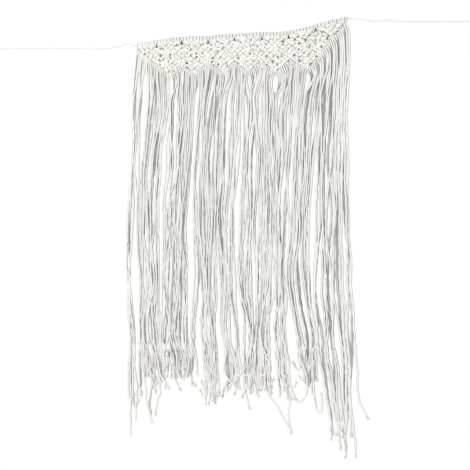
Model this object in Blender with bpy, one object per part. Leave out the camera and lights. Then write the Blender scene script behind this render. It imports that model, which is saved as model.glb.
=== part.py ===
"""A macrame wall hanging on its carrying rope, hung by the rope's two end loops.

64 cotton cords are folded over the rope with lark's head knots. Under it they are tied
into a band of diamonds: rows of double half hitches make the slanting bars, and square
knots fill the fields between them. Below the band the 128 cord ends hang free as a long
fringe, in the locks and uneven lengths in which they fall.

Frame: the origin is on the rope's axis at the middle of the band, +X to the right, +Z up,
and the front faces -Y. The tables are in millimetres, the model is in metres.
"""

from bisect import bisect_right
from collections import namedtuple
import math

import bmesh
import bpy
from mathutils import Vector

MM = 0.001
GAP = 0.3

# The cords and the rope
REPEATS = 8
STRANDS_PER_REPEAT = 16
STRANDS = REPEATS * STRANDS_PER_REPEAT
STRAND_RADIUS = 2.3
STRAND_SIDES = 3
ROPE_RADIUS = 2.5
ROPE_SIDES = 8
ROPE_STEP = 12.5
HEADER_STEP = 26.0
END_STEP = 1.5
HEADER_REACH = 2.0

# The rope's axis from left to right: x, z
ROPE_ROUTE = (
    (-670, 5),
    (-625, 4),
    (-470, -3),
    (-316, -10),
    (-295, -7),
    (-274, -2.5),
    (-258, -8),
    (-216, -6.5),
    (-165, -2),
    (-113, 0),
    (-75, -2),
    (-37, 0),
    (0, 0),
    (60, 0),
    (110, -1.5),
    (134, -0.5),
    (158, 4),
    (182, 7.5),
    (206, 14),
    (229, 19),
    (253, 23),
    (274, 26),
    (304, 23.5),
    (327, 17),
    (345, 17),
    (364, 17),
    (391, 13),
    (458, 9),
    (546, 4),
    (600, 2),
)
LEFT_ROPE_END = -640
RIGHT_ROPE_END = 556

# The band, at the nine edges of its eight repeats from left to right
REPEAT_EDGES = (-250, -198, -133, -66, 0, 67, 132, 196, 270)
REPEAT_STRETCH = (0.92, 0.93, 1.0, 0.97, 1.0, 1.04, 1.06, 1.12, 1.12)

# The diamonds: a bar falls one level in half a repeat. The first starts this far under
# the rope's axis, and the band ends in points at the third level.
BAR_START = 9.0
LEVEL = 26.5
BAR_HALF = 0.10

# Where the rope climbs, the band leans this share of the way towards square with it. The
# climb is measured over the reach to either side.
LEAN = 0.7
CLIMB_REACH = 30.0

# The lines across one side of a diamond, as a fraction of the side, and the height that
# the surface has there: on a bar, in a groove, on a square knot or between knots
LINES = (0.0, BAR_HALF, 0.22, 0.35, 0.5, 0.65, 0.78, 1 - BAR_HALF)
BAR, GROOVE, KNOT, BETWEEN = range(4)
KINDS = (BAR, GROOVE, KNOT, BETWEEN, KNOT, BETWEEN, KNOT, GROOVE)
BAR_HEIGHT = 5.0
HITCH_DIP = 4.2
CROSSING_HEIGHT = 5.1
GROOVE_HEIGHT = 3.2
KNOT_HEIGHT = 4.8
SADDLE_HEIGHT = 3.8
DIMPLE_HEIGHT = 1.8
EDGE_HEIGHT = 2.2

# The lark's heads: half of the row's section, y and z from the rope's axis
HEADS_PER_REPEAT = 8
HEAD_PROFILE = ((5.9, -11.8), (6.4, 1.0))
HEAD_TOP = 6.8
HEAD_DIP = 0.88

# The opening between two repeats, just under the heads
OPENING_HALF_WIDTH = 3.8
OPENING_TOP = -4.1
OPENING_BOTTOM = -14.6
CUTTER_REACH = 12.0

# The narrow strip under the band that holds the roots of the fringe
STRIP_DROP = 0.6
STRIP_HEIGHT = 4.0
STRIP_HALF_THICKNESS = 3.5
STRIP_STEPS = 4

# The fringe hangs two strands deep, so neighbours lie in different layers
LAYERS = (-0.5, 0.5)
LAYER_PITCH = 4.4
ROOT_PITCH = 1.6
ROOT_DEPTH = 2.4
ROOT_INSET = 0.8
FAN_DROP = 21.0
FAN_PITCH = 3.5
FAN_BULGE = 3.2
RIGHT_END_BULGE = 7.5
STRAND_SPACING = 4.4

# The locks from left to right: how many strands, the lock's left and right edge at each
# of the heights, and where it ends
LOCK_HEIGHTS = (-150, -295, -440, -585, -730)
Lock = namedtuple("Lock", "strands left right end_left end_right end_z")
LOCKS = (
    Lock(5, (-259, -272, -275, -275, -270), (-245, -257, -262, -263, -255), -274, -250, -905),
    Lock(3, (-245, -257, -251, -246, -243), (-237, -241, -237, -236, -234), -241, -225, -870),
    Lock(15, (-221, -237, -236, -236, -234), (-167, -186, -197, -195, -189), -219, -177, -833),
    Lock(1, (-167, -175, -184, -185, -189), (-162, -171, -178, -180, -184), -175, -172, -842),
    Lock(18, (-162, -166, -178, -180, -184), (-99, -112, -121, -117, -117), -190, -114, -812),
    Lock(4, (-91, -102, -104, -102, -112), (-80, -89, -94, -90, -98), -113, -100, -829),
    Lock(12, (-80, -89, -94, -90, -86), (-35, -42, -46, -44, -47), -78, -40, -866),
    Lock(11, (-35, -42, -46, -32, -29), (20, 14, -2, -2, 7), -27, 19, -837),
    Lock(12, (20, 19, 12, 9, 16), (62, 62, 62, 60, 55), 20, 57, -842),
    Lock(9, (65, 63, 63, 68, 68), (104, 101, 101, 103, 87), 69, 91, -840),
    Lock(10, (104, 101, 101, 103, 98), (146, 135, 126, 122, 128), 101, 137, -844),
    Lock(13, (152, 141, 133, 127, 156), (200, 194, 181, 182, 199), 165, 197, -822),
    Lock(11, (201, 199, 195, 192, 200), (253, 252, 255, 255, 260), 218, 262, -936),
    Lock(4, (255, 255, 260, 260, 263), (273, 274, 276, 281, 290), 267, 292, -967),
)

# How far a strand's end lies from its lock's, strand after strand
END_STEPS = (4, -14, 11, -4, 16, -20, 0, -9)

# Single ends that stray: the strand, how far in front of the middle it hangs, or None
# where it keeps its layer, and its route below the last height, x and z
Stray = namedtuple("Stray", "strand front route")
STRAYS = (
    Stray(2, None, ((-266, -786), (-267, -885), (-267, -959))),
    Stray(4, None, ((-255, -815), (-250, -855), (-253, -924))),
    Stray(5, None, ((-241, -785), (-242, -864))),
    Stray(7, 12, ((-234, -797), (-225, -846), (-221, -878), (-212, -924))),
    Stray(9, None, ((-211, -846), (-215, -883), (-216, -902))),
    Stray(14, None, ((-189, -840), (-188, -862), (-195, -884), (-200, -907))),
    Stray(18, 12, ((-190, -805), (-180, -825), (-168, -844))),
    Stray(26, None, ((-154, -811), (-151, -831), (-142, -848))),
    Stray(31, 12, ((-144, -770), (-141, -811), (-128, -828), (-116, -815), (-113, -786))),
    Stray(43, None, ((-113, -795), (-109, -817), (-102, -834))),
    Stray(46, None, ((-80, -760), (-72, -818), (-76, -847), (-73, -881))),
    Stray(57, None, ((-45, -803), (-42, -851), (-47, -873))),
    Stray(58, 12, ((-19, -765), (-26, -792), (-22, -814), (-10, -828))),
    Stray(60, -12, ((-7, -815), (-20, -838), (-30, -847), (-31, -862))),
    Stray(70, None, ((21, -824), (27, -860), (35, -883))),
    Stray(88, None, ((81, -774), (76, -829), (86, -859), (105, -885), (127, -921))),
    Stray(90, None, ((108, -797), (125, -839), (134, -857), (132, -895), (137, -933))),
    Stray(98, None, ((133, -784), (133, -835))),
    Stray(101, 12, ((162, -767), (173, -800), (178, -835), (171, -860), (157, -870), (142, -858))),
    Stray(110, 12, ((192, -824), (195, -862), (202, -892), (210, -893), (213, -855))),
    Stray(115, None, ((218, -828), (225, -874), (233, -925))),
    Stray(123, None, ((248, -862), (250, -920), (253, -961))),
    Stray(125, None, ((271, -884), (265, -942), (267, -984))),
    Stray(126, None, ((281, -883), (285, -941), (290, -978))),
    Stray(127, None, ((296, -794), (295, -836), (298, -861), (313, -890))),
)

# The fringe's nodes, each a run of whole locks: how many locks it takes
NODE_LOCKS = (2, 2, 1, 2, 1, 1, 2, 1, 2)

# The end loops: an overhand knot, and the eye that goes over a hook
KNOT_LENGTH = 15.0
KNOT_RADIUS = 6.8
KNOT_SIDES = 8
KNOT_RINGS = (0.40, 0.86, 1.0, 0.80, 1.0, 0.86, 0.40)
KNOT_DIP = 0.88
EYE_OVERLAP = 5.5
EYE_LENGTH = 36.0
EYE_HEIGHT = 24.0
EYE_STEPS = 14
EYE_SIDES = 6


def clear_scene():
    for obj in list(bpy.data.objects):
        bpy.data.objects.remove(obj)


def cotton(name, colour):
    """Undyed cotton: matt, and a little warmer or cooler from piece to piece."""
    material = bpy.data.materials.new(name)
    material.use_nodes = True
    shader = material.node_tree.nodes["Principled BSDF"]
    shader.inputs["Base Color"].default_value = (*colour, 1.0)
    shader.inputs["Roughness"].default_value = 0.92
    shader.inputs["Metallic"].default_value = 0.0
    return material


def smooth(xs, ys, x):
    """The value at x of the smooth curve through the points (xs, ys)."""
    i = min(max(bisect_right(xs, x) - 1, 0), len(xs) - 2)
    steps = [(ys[k + 1] - ys[k]) / (xs[k + 1] - xs[k]) for k in range(len(xs) - 1)]
    rise_in = steps[i] if i == 0 else (steps[i - 1] + steps[i]) / 2
    rise_out = steps[i] if i == len(steps) - 1 else (steps[i] + steps[i + 1]) / 2
    length = xs[i + 1] - xs[i]
    u = (x - xs[i]) / length
    start = (1 + 2 * u) * (1 - u) ** 2 * ys[i] + u * (1 - u) ** 2 * length * rise_in
    end = u * u * (3 - 2 * u) * ys[i + 1] + u * u * (u - 1) * length * rise_out
    return start + end


def rope_z(x):
    return smooth([p[0] for p in ROPE_ROUTE], [p[1] for p in ROPE_ROUTE], x)


def band_drop(across, level):
    """How far below the start of the bars a level of the diamonds lies."""
    return LEVEL * smooth(range(REPEATS + 1), REPEAT_STRETCH, across) * level


def band_x(across, level=0):
    """x at a place across the band, counted in repeats from the left edge."""
    x = smooth(range(REPEATS + 1), REPEAT_EDGES, across)
    climb = (rope_z(x + CLIMB_REACH) - rope_z(x - CLIMB_REACH)) / (2 * CLIMB_REACH)
    return x + LEAN * climb * band_drop(across, level)


def band_z(across, level):
    """z at a place across the band and a level of the diamonds under the rope."""
    return rope_z(band_x(across)) - BAR_START - band_drop(across, level)


def low_level(across):
    """The level of the band's lower edge: two slanting ends and a zigzag between."""
    to_gap = abs(across - round(across))
    zigzag = 2 + 2 * BAR_HALF + 2 * to_gap
    left_end = 2 * (across + BAR_HALF)
    right_end = 2 * (REPEATS + BAR_HALF - across)
    return min(zigzag, left_end, right_end)


def new_object(name, points, faces, material):
    """A closed mesh object from points in millimetres, its faces turned outwards."""
    mesh = bpy.data.meshes.new(name)
    mesh.from_pydata([Vector(p) * MM for p in points], [], faces)
    shape = bmesh.new()
    shape.from_mesh(mesh)
    bmesh.ops.recalc_face_normals(shape, faces=shape.faces)
    shape.to_mesh(mesh)
    shape.free()
    if material:
        mesh.materials.append(material)
    obj = bpy.data.objects.new(name, mesh)
    bpy.context.collection.objects.link(obj)
    return obj


def loft(rings, points, faces, closed=False):
    """Adds a tube through rings of points, capped at both ends unless it is closed."""
    first = len(points)
    sides = len(rings[0])
    for ring in rings:
        points.extend(ring)
    count = len(rings)
    for i in range(count if closed else count - 1):
        near = first + i * sides
        far = first + (i + 1) % count * sides
        for k in range(sides):
            after = (k + 1) % sides
            faces.append((near + k, near + after, far + after, far + k))
    if not closed:
        faces.append(tuple(range(first, first + sides)))
        faces.append(tuple(range(first + (count - 1) * sides, first + count * sides)))


def flat_tube_rings(path, radius, sides, closed=False):
    """Rings square to a path of (x, y, z) that bends in the X-Z plane."""
    rings = []
    count = len(path)
    for i, (x, y, z) in enumerate(path):
        before = path[i - 1] if closed or i > 0 else path[0]
        after = path[(i + 1) % count] if closed or i < count - 1 else path[-1]
        along = Vector((after[0] - before[0], 0, after[2] - before[2])).normalized()
        aside = Vector((along.z, 0, -along.x))
        ring = []
        for k in range(sides):
            angle = 2 * math.pi * k / sides + math.pi / 2
            offset = aside * math.cos(angle) + Vector((0, 1, 0)) * math.sin(angle)
            ring.append(Vector((x, y, z)) + offset * radius)
        rings.append(ring)
    return rings


def hide_helper(obj):
    obj.hide_render = True
    obj.display_type = "WIRE"


def combine(obj, other, operation):
    """Joins a helper to an object, or cuts it out, with a Boolean modifier."""
    modifier = obj.modifiers.new(other.name, "BOOLEAN")
    modifier.operation = operation
    modifier.solver = "EXACT"
    modifier.object = other
    hide_helper(other)


def rope_path(start, end, step):
    """The rope's axis from one x to another. A short step at each end squares it off."""
    steps = round(abs(end - start) / step)
    xs = [start + (end - start) * i / steps for i in range(steps + 1)]
    short = math.copysign(END_STEP, end - start)
    xs = [start, start + short] + xs[1:-1] + [end - short, end]
    return [(x, 0, rope_z(x)) for x in xs]


def header_path():
    """The rope's axis where the heads hold it."""
    return rope_path(REPEAT_EDGES[0] - HEADER_REACH, REPEAT_EDGES[-1] + HEADER_REACH, HEADER_STEP)


def make_header_rope():
    points, faces = [], []
    loft(flat_tube_rings(header_path(), ROPE_RADIUS, ROPE_SIDES), points, faces)
    new_object("header_rope", points, faces, cotton("rope_cotton", (0.80, 0.78, 0.73)))


def make_free_rope(name, start, end):
    """A free stretch of the rope, as a bevelled curve."""
    path = rope_path(start, end, ROPE_STEP)
    curve = bpy.data.curves.new(name, "CURVE")
    curve.dimensions = "3D"
    curve.bevel_depth = ROPE_RADIUS * MM
    curve.bevel_resolution = 2
    curve.use_fill_caps = True
    spline = curve.splines.new("POLY")
    spline.points.add(len(path) - 1)
    for point, place in zip(spline.points, path):
        point.co = (*(Vector(place) * MM), 1)
    curve.materials.append(cotton(name + "_cotton", (0.81, 0.79, 0.74)))
    bpy.context.collection.objects.link(bpy.data.objects.new(name, curve))


def make_end_loop(name, rope_end, direction):
    """A knot at the rope's end and an eye beyond it; direction is -1 left, +1 right."""
    z = rope_z(rope_end)
    near = rope_end + direction * GAP
    points, faces = [], []
    rings = []
    for i, size in enumerate(KNOT_RINGS):
        x = near + direction * KNOT_LENGTH * i / (len(KNOT_RINGS) - 1)
        ring = []
        for k in range(KNOT_SIDES):
            radius = KNOT_RADIUS * size * (1 if (k + i) % 2 else KNOT_DIP)
            angle = 2 * math.pi * k / KNOT_SIDES
            ring.append((x, radius * math.cos(angle), z + radius * math.sin(angle)))
        rings.append(ring)
    loft(rings, points, faces)
    knot = new_object(name, points, faces, cotton(name + "_cotton", (0.79, 0.77, 0.72)))

    middle = near + direction * (KNOT_LENGTH - EYE_OVERLAP + EYE_LENGTH / 2)
    path = []
    for i in range(EYE_STEPS):
        angle = 2 * math.pi * i / EYE_STEPS
        narrowing = 1 + 0.35 * math.cos(angle)
        x = middle + direction * EYE_LENGTH / 2 * math.cos(angle)
        path.append((x, 0, z + EYE_HEIGHT / 2 * math.sin(angle) * narrowing))
    points, faces = [], []
    loft(flat_tube_rings(path, ROPE_RADIUS, EYE_SIDES, closed=True), points, faces, closed=True)
    combine(knot, new_object(name + "_eye", points, faces, None), "UNION")


def line_place(n):
    """Where a line of the diamonds' grid lies, counted in repeats."""
    return n // len(LINES) + LINES[n % len(LINES)]


def line_kind(n):
    return KINDS[n % len(LINES)]


def diamonds():
    """The diamonds, each by its left-hand bar and its right-hand bar."""
    top = [(k, k) for k in range(REPEATS)]
    middle = [(k - 1, k) for k in range(1, REPEATS)]
    low = [(k - 1, k + 1) for k in range(1, REPEATS - 1)]
    return set(top + middle + low)


def in_band(n, m, fields):
    """Whether a patch of the grid belongs to a diamond or to the outer half of a bar."""
    size = len(LINES)
    left, right = n // size, m // size
    lefts = [left, left + 1] if n % size == size - 1 else [left]
    rights = [right, right - 1] if m % size == 0 else [right]
    return m >= n and any((a, b) in fields for a in lefts for b in rights)


def surface_height(n, m):
    """Half the band's thickness where two lines of the grid cross."""
    kinds = {line_kind(n), line_kind(m)}
    if kinds == {BAR}:
        return CROSSING_HEIGHT
    if BAR in kinds:
        return HITCH_DIP if (n + m) % 2 else BAR_HEIGHT
    if GROOVE in kinds:
        return GROOVE_HEIGHT
    if kinds == {KNOT}:
        return KNOT_HEIGHT
    return DIMPLE_HEIGHT if kinds == {BETWEEN} else SADDLE_HEIGHT


def make_diamond_plate():
    """The knotted band under the heads, with its bars and knots raised on both sides."""
    fields = diamonds()
    last = REPEATS * len(LINES)
    patches = []
    for n in range(-1, last):
        for m in range(n, last + 1):
            if not in_band(n, m, fields):
                continue
            if m == n:
                patches.append(((n, m), (n, m + 1), (n + 1, m + 1)))
            else:
                patches.append(((n, m), (n, m + 1), (n + 1, m + 1), (n + 1, m)))

    sides = {}
    for patch in patches:
        for start, end in zip(patch, patch[1:] + patch[:1]):
            sides[(start, end)] = patch
    rim = [side for side in sides if side[::-1] not in sides]
    on_rim = {corner for side in rim for corner in side}

    points, numbers = [], {}
    for n, m in sorted({corner for patch in patches for corner in patch}):
        across = (line_place(n) + line_place(m)) / 2
        level = line_place(m) - line_place(n)
        x, z = band_x(across, level), band_z(across, level)
        edge = (n, m) in on_rim and n != m
        height = EDGE_HEIGHT if edge else surface_height(n, m)
        numbers[(n, m)] = len(points)
        points.append((x, -height, z))
        points.append((x, height, z))
    faces = []
    for patch in patches:
        faces.append(tuple(numbers[corner] for corner in patch))
        faces.append(tuple(numbers[corner] + 1 for corner in reversed(patch)))
    for start, end in rim:
        near, far = numbers[start], numbers[end]
        faces.append((far, near, near + 1, far + 1))
    return new_object("knotted_band", points, faces, cotton("band_cotton", (0.84, 0.82, 0.77)))


def make_head_row():
    """The row of lark's heads over the rope, a ridge to each."""
    rings = []
    count = 2 * HEADS_PER_REPEAT * REPEATS
    for i in range(count + 1):
        x = band_x(i / (2 * HEADS_PER_REPEAT))
        size = 1.0 if i % 2 else HEAD_DIP
        z = rope_z(x)
        front = [(x, -y * size, z + up * (1 if up < 0 else size)) for y, up in HEAD_PROFILE]
        back = [(x, -y, up) for x, y, up in reversed(front)]
        rings.append(front + [(x, 0, z + HEAD_TOP * size)] + back)
    points, faces = [], []
    loft(rings, points, faces)
    return new_object("lark_heads", points, faces, None)


def make_openings():
    """One cutter with a prism for the opening between each two repeats."""
    points, faces = [], []
    half = OPENING_HALF_WIDTH
    for x in REPEAT_EDGES[1:-1]:
        z = rope_z(x)
        middle = z + (OPENING_TOP + OPENING_BOTTOM) / 2
        outline = (
            (x - half * 0.6, z + OPENING_TOP),
            (x + half * 0.6, z + OPENING_TOP),
            (x + half, middle),
            (x, z + OPENING_BOTTOM),
            (x - half, middle),
        )
        rings = [[(px, y, pz) for px, pz in outline] for y in (-CUTTER_REACH, CUTTER_REACH)]
        loft(rings, points, faces)
    return new_object("band_openings", points, faces, None)


def make_rope_bore():
    path = header_path()
    (x, y, z), (end_x, _, end_z) = path[0], path[-1]
    path = [(x - CUTTER_REACH, y, z)] + path + [(end_x + CUTTER_REACH, y, end_z)]
    points, faces = [], []
    loft(flat_tube_rings(path, ROPE_RADIUS + GAP + 0.1, ROPE_SIDES), points, faces)
    return new_object("rope_bore", points, faces, None)


def make_band():
    band = make_diamond_plate()
    combine(band, make_head_row(), "UNION")
    combine(band, make_rope_bore(), "DIFFERENCE")
    combine(band, make_openings(), "DIFFERENCE")


def spread(wanted):
    """Places in order, as near to the wanted ones as a strand's width between them lets."""
    up, down = list(wanted), list(wanted)
    for i in range(1, len(wanted)):
        up[i] = max(up[i], up[i - 1] + STRAND_SPACING)
    for i in range(len(wanted) - 2, -1, -1):
        down[i] = min(down[i], down[i + 1] - STRAND_SPACING)
    return [(a + b) / 2 for a, b in zip(up, down)]


def strand_rows():
    """The strands' x at each height of the locks, and at their ends."""
    rows = []
    for h in range(len(LOCK_HEIGHTS) + 1):
        row = []
        for lock in LOCKS:
            at_end = h == len(LOCK_HEIGHTS)
            left = lock.end_left if at_end else lock.left[h]
            right = lock.end_right if at_end else lock.right[h]
            for k in range(lock.strands):
                row.append(left + (right - left) * (k + 0.5) / lock.strands)
        for layer in range(len(LAYERS)):
            row[layer :: len(LAYERS)] = spread(row[layer :: len(LAYERS)])
        rows.append(row)
    return rows


def strand_root(i, first, last):
    """Where a strand of the strip from first up to last leaves it: x, z, and its bulge."""
    share = (i - first) / (last - 1 - first)
    across = (first + ROOT_INSET + share * (last - first - 2 * ROOT_INSET)) / STRANDS_PER_REPEAT
    falls = low_level(across + 0.01) > low_level(across)
    z = band_z(across, low_level(across)) - STRIP_DROP
    side_bulge = RIGHT_END_BULGE if across > REPEATS - 0.5 else FAN_BULGE
    x = band_x(across, low_level(across))
    return x, z, -side_bulge if falls else side_bulge


def strand_path(i, root, rows, strays):
    layer = LAYERS[i % len(LAYERS)]
    x, z, bulge = root
    path = [
        (x, layer * ROOT_PITCH, z - ROOT_DEPTH),
        (x + bulge, layer * FAN_PITCH, z - FAN_DROP),
    ]
    y = layer * LAYER_PITCH
    for h, height in enumerate(LOCK_HEIGHTS):
        path.append((rows[h][i], y, height))
    if i in strays:
        stray = strays[i]
        tail_y = y if stray.front is None else -stray.front
        path += [(px, tail_y, pz) for px, pz in stray.route]
    else:
        lock_ends = [lock.end_z for lock in LOCKS for _ in range(lock.strands)]
        path.append((rows[-1][i], y, lock_ends[i] + END_STEPS[i % len(END_STEPS)]))
    return path


def make_strip(name, first, last, material):
    """The strip that holds the roots of the strands from first up to last."""
    start = first / STRANDS_PER_REPEAT
    end = last / STRANDS_PER_REPEAT
    inner = [k / STRIP_STEPS for k in range(REPEATS * STRIP_STEPS + 1)]
    places = [start] + [s for s in inner if start + 0.02 < s < end - 0.02] + [end]
    rings = []
    for i, across in enumerate(places):
        x = band_x(across, low_level(across))
        if i == 0:
            x += GAP / 2
        elif i == len(places) - 1:
            x -= GAP / 2
        top = band_z(across, low_level(across)) - STRIP_DROP
        low, half = top - STRIP_HEIGHT, STRIP_HALF_THICKNESS
        rings.append([(x, -half, top), (x, half, top), (x, half, low), (x, -half, low)])
    points, faces = [], []
    loft(rings, points, faces)
    return new_object(name, points, faces, material)


def make_fringe():
    """One node to a run of locks: their strip, and the strands fused to it."""
    rows = strand_rows()
    strays = {stray.strand: stray for stray in STRAYS}
    locks = iter(LOCKS)
    first = 0
    for number, lock_count in enumerate(NODE_LOCKS, start=1):
        last = first + sum(next(locks).strands for _ in range(lock_count))
        name = f"fringe_{number}"
        warmth = 0.01 * (number % 3)
        material = cotton(name + "_cotton", (0.82 + warmth, 0.80 + warmth, 0.76))
        strip = make_strip(name, first, last, material)
        points, faces = [], []
        for i in range(first, last):
            path = strand_path(i, strand_root(i, first, last), rows, strays)
            loft(flat_tube_rings(path, STRAND_RADIUS, STRAND_SIDES), points, faces)
        combine(strip, new_object(name + "_strands", points, faces, None), "UNION")
        first = last


def main():
    clear_scene()
    make_header_rope()
    left, right = header_path()[0][0], header_path()[-1][0]
    make_free_rope("left_rope", left - GAP, LEFT_ROPE_END)
    make_free_rope("right_rope", right + GAP, RIGHT_ROPE_END)
    make_end_loop("left_loop", LEFT_ROPE_END, -1)
    make_end_loop("right_loop", RIGHT_ROPE_END, 1)
    make_band()
    make_fringe()


main()
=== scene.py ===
"""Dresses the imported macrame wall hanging: real cords, knots, rope and fringe in cotton.

Every cord is a tube that follows its own path. The lark's heads are tied one by one. The
square knot, the half hitch and the frayed tip are each tied once and repeated with Geometry
Nodes. The tables are in millimetres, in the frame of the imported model: the origin on the
rope's axis at the middle of the band, +X to the right, +Z up, the front facing -Y.
"""

from bisect import bisect_right
from collections import namedtuple
import math
import random

import bpy
from bpy.props import FloatProperty, FloatVectorProperty, IntProperty, PointerProperty
from mathutils import Matrix, Vector


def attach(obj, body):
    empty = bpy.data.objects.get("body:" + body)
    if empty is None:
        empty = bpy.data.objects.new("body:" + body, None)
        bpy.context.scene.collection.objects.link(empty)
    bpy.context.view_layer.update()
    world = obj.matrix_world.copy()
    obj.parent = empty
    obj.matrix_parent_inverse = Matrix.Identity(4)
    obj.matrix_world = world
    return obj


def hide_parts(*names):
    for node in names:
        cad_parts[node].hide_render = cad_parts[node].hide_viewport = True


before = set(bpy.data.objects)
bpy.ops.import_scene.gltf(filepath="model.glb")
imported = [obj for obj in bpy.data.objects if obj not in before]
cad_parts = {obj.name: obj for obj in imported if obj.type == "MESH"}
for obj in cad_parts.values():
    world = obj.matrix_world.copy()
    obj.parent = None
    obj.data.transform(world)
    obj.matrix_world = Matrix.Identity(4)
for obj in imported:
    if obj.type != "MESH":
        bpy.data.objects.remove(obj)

bl_info = {
    "name": "Macrame wall hanging",
    "version": (1, 0, 0),
    "blender": (4, 5, 0),
    "location": "3D View > Sidebar > Hanging",
    "description": "Ties the cords, knots, rope and fringe of a macrame wall hanging",
    "category": "Add Mesh",
}

MM = 0.001

# The carrying rope's axis from left to right: x, z
ROPE_ROUTE = (
    (-670, 5), (-625, 4), (-470, -3), (-316, -10), (-295, -7), (-274, -2.5), (-258, -8),
    (-216, -6.5), (-165, -2), (-113, 0), (-75, -2), (-37, 0), (0, 0), (60, 0), (110, -1.5),
    (134, -0.5), (158, 4), (182, 7.5), (206, 14), (229, 19), (253, 23), (274, 26), (304, 23.5),
    (327, 17), (345, 17), (364, 17), (391, 13), (458, 9), (546, 4), (600, 2),
)
HEADER_ENDS = (-252, 272)
LEFT_ROPE_END = -640
RIGHT_ROPE_END = 556

# The band at the nine edges of its eight repeats, and its diamonds
REPEATS = 8
REPEAT_EDGES = (-250, -198, -133, -66, 0, 67, 132, 196, 270)
REPEAT_STRETCH = (0.92, 0.93, 1.0, 0.97, 1.0, 1.04, 1.06, 1.12, 1.12)
MEAN_REPEAT = 65.0
BAR_START = 9.0
LEVEL = 26.5
BAR_HALF = 0.10
LEAN = 0.7
CLIMB_REACH = 30.0
BAR_ROWS = (0.0, 0.16)
FALLING_PLACES = (0.37, 0.61, 0.85)
RISING_PLACES = (0.15, 0.39, 0.63)
CARRIED_PLACES = (0.08, 0.36, 0.64, 0.92)
TOP_KNOTS = (
    (0.16, -0.12), (0.39, -0.12), (0.61, -0.12), (0.84, -0.12), (0.27, 0.1), (0.5, 0.1),
    (0.73, 0.1), (0.37, 0.32), (0.63, 0.32), (0.5, 0.54),
)
HEADS_PER_REPEAT = 8
OPENING_LEANS = (1.8, 2.3, 2.0, 1.6, 1.6, 1.8, 3.0)
OPENING_CORDS = (-3.6, 0.0, 3.6)

# The fringe: 16 strands to a repeat, in locks, two strands deep
STRANDS_PER_REPEAT = 16
STRANDS = REPEATS * STRANDS_PER_REPEAT
LANE_PATTERN = (0, 1, 0, 0)
LANE_DEPTHS = (-1.3, 1.6)
LANE_UNEVENNESS = (1.1, 2.0)
CROSSING_SHARES = (0.2, 0.3, 0.35, 0.45, 0.5)
CROSSING_REACH = (4.0, 13.0)
CURLED_SHARE = 0.35
LOOSE_END = 360.0
LOOSE_SWELL = 0.03
STRAND_SIZES = (1.0, 1.2)
NODE_SWELLS = (1.05, 1.0, 1.0, 1.04, 1.12, 1.06, 1.04, 1.06, 1.17)
STRAND_SPACING = 4.6
FAN_DROPS = (13.0, 1.3)
TIP_BULGES = ((-3, 5), (-1, 1), (-1, 1), (-2, 6), (-6, 6), (-3, 7), (-3, 7))
RIGHT_END_DEPTH = 1.8
DEPTH_WANDER = 1.3
LOCK_HEIGHTS = (-150, -295, -440, -585, -730)
Lock = namedtuple("Lock", "strands left right end_left end_right end_z")
LOCKS = (
    Lock(5, (-259, -272, -275, -275, -270), (-245, -257, -262, -263, -255), -274, -250, -905),
    Lock(3, (-245, -257, -251, -246, -243), (-237, -241, -237, -236, -234), -241, -225, -870),
    Lock(15, (-221, -237, -236, -236, -234), (-167, -186, -197, -195, -189), -219, -177, -833),
    Lock(1, (-167, -175, -184, -185, -189), (-162, -171, -178, -180, -184), -175, -172, -842),
    Lock(18, (-162, -166, -178, -180, -184), (-99, -112, -121, -117, -117), -190, -114, -812),
    Lock(4, (-91, -102, -104, -102, -112), (-80, -89, -94, -90, -98), -113, -100, -829),
    Lock(12, (-80, -89, -94, -90, -86), (-35, -42, -46, -44, -47), -78, -40, -866),
    Lock(11, (-37, -44, -46, -32, -29), (20, 14, -2, -2, 7), -27, 19, -837),
    Lock(12, (20, 19, 12, 9, 16), (63, 64, 64, 63, 60), 20, 57, -842),
    Lock(9, (62, 61, 61, 62, 63), (104, 103, 103, 103, 87), 69, 91, -840),
    Lock(10, (104, 101, 101, 103, 98), (150, 136, 130, 125, 128), 101, 137, -844),
    Lock(13, (150, 141, 131, 126, 152), (208, 194, 181, 182, 199), 165, 197, -822),
    Lock(11, (209, 199, 195, 192, 200), (258, 253, 256, 258, 269), 226, 274, -944),
    Lock(4, (258, 253, 256, 258, 270), (274, 274, 276, 284, 293), 276, 292, -962),
)
END_STEPS = (4, -14, 11, -4, 16, -20, 0, -9)
NODE_LOCKS = (2, 2, 1, 2, 1, 1, 2, 1, 2)

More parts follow.
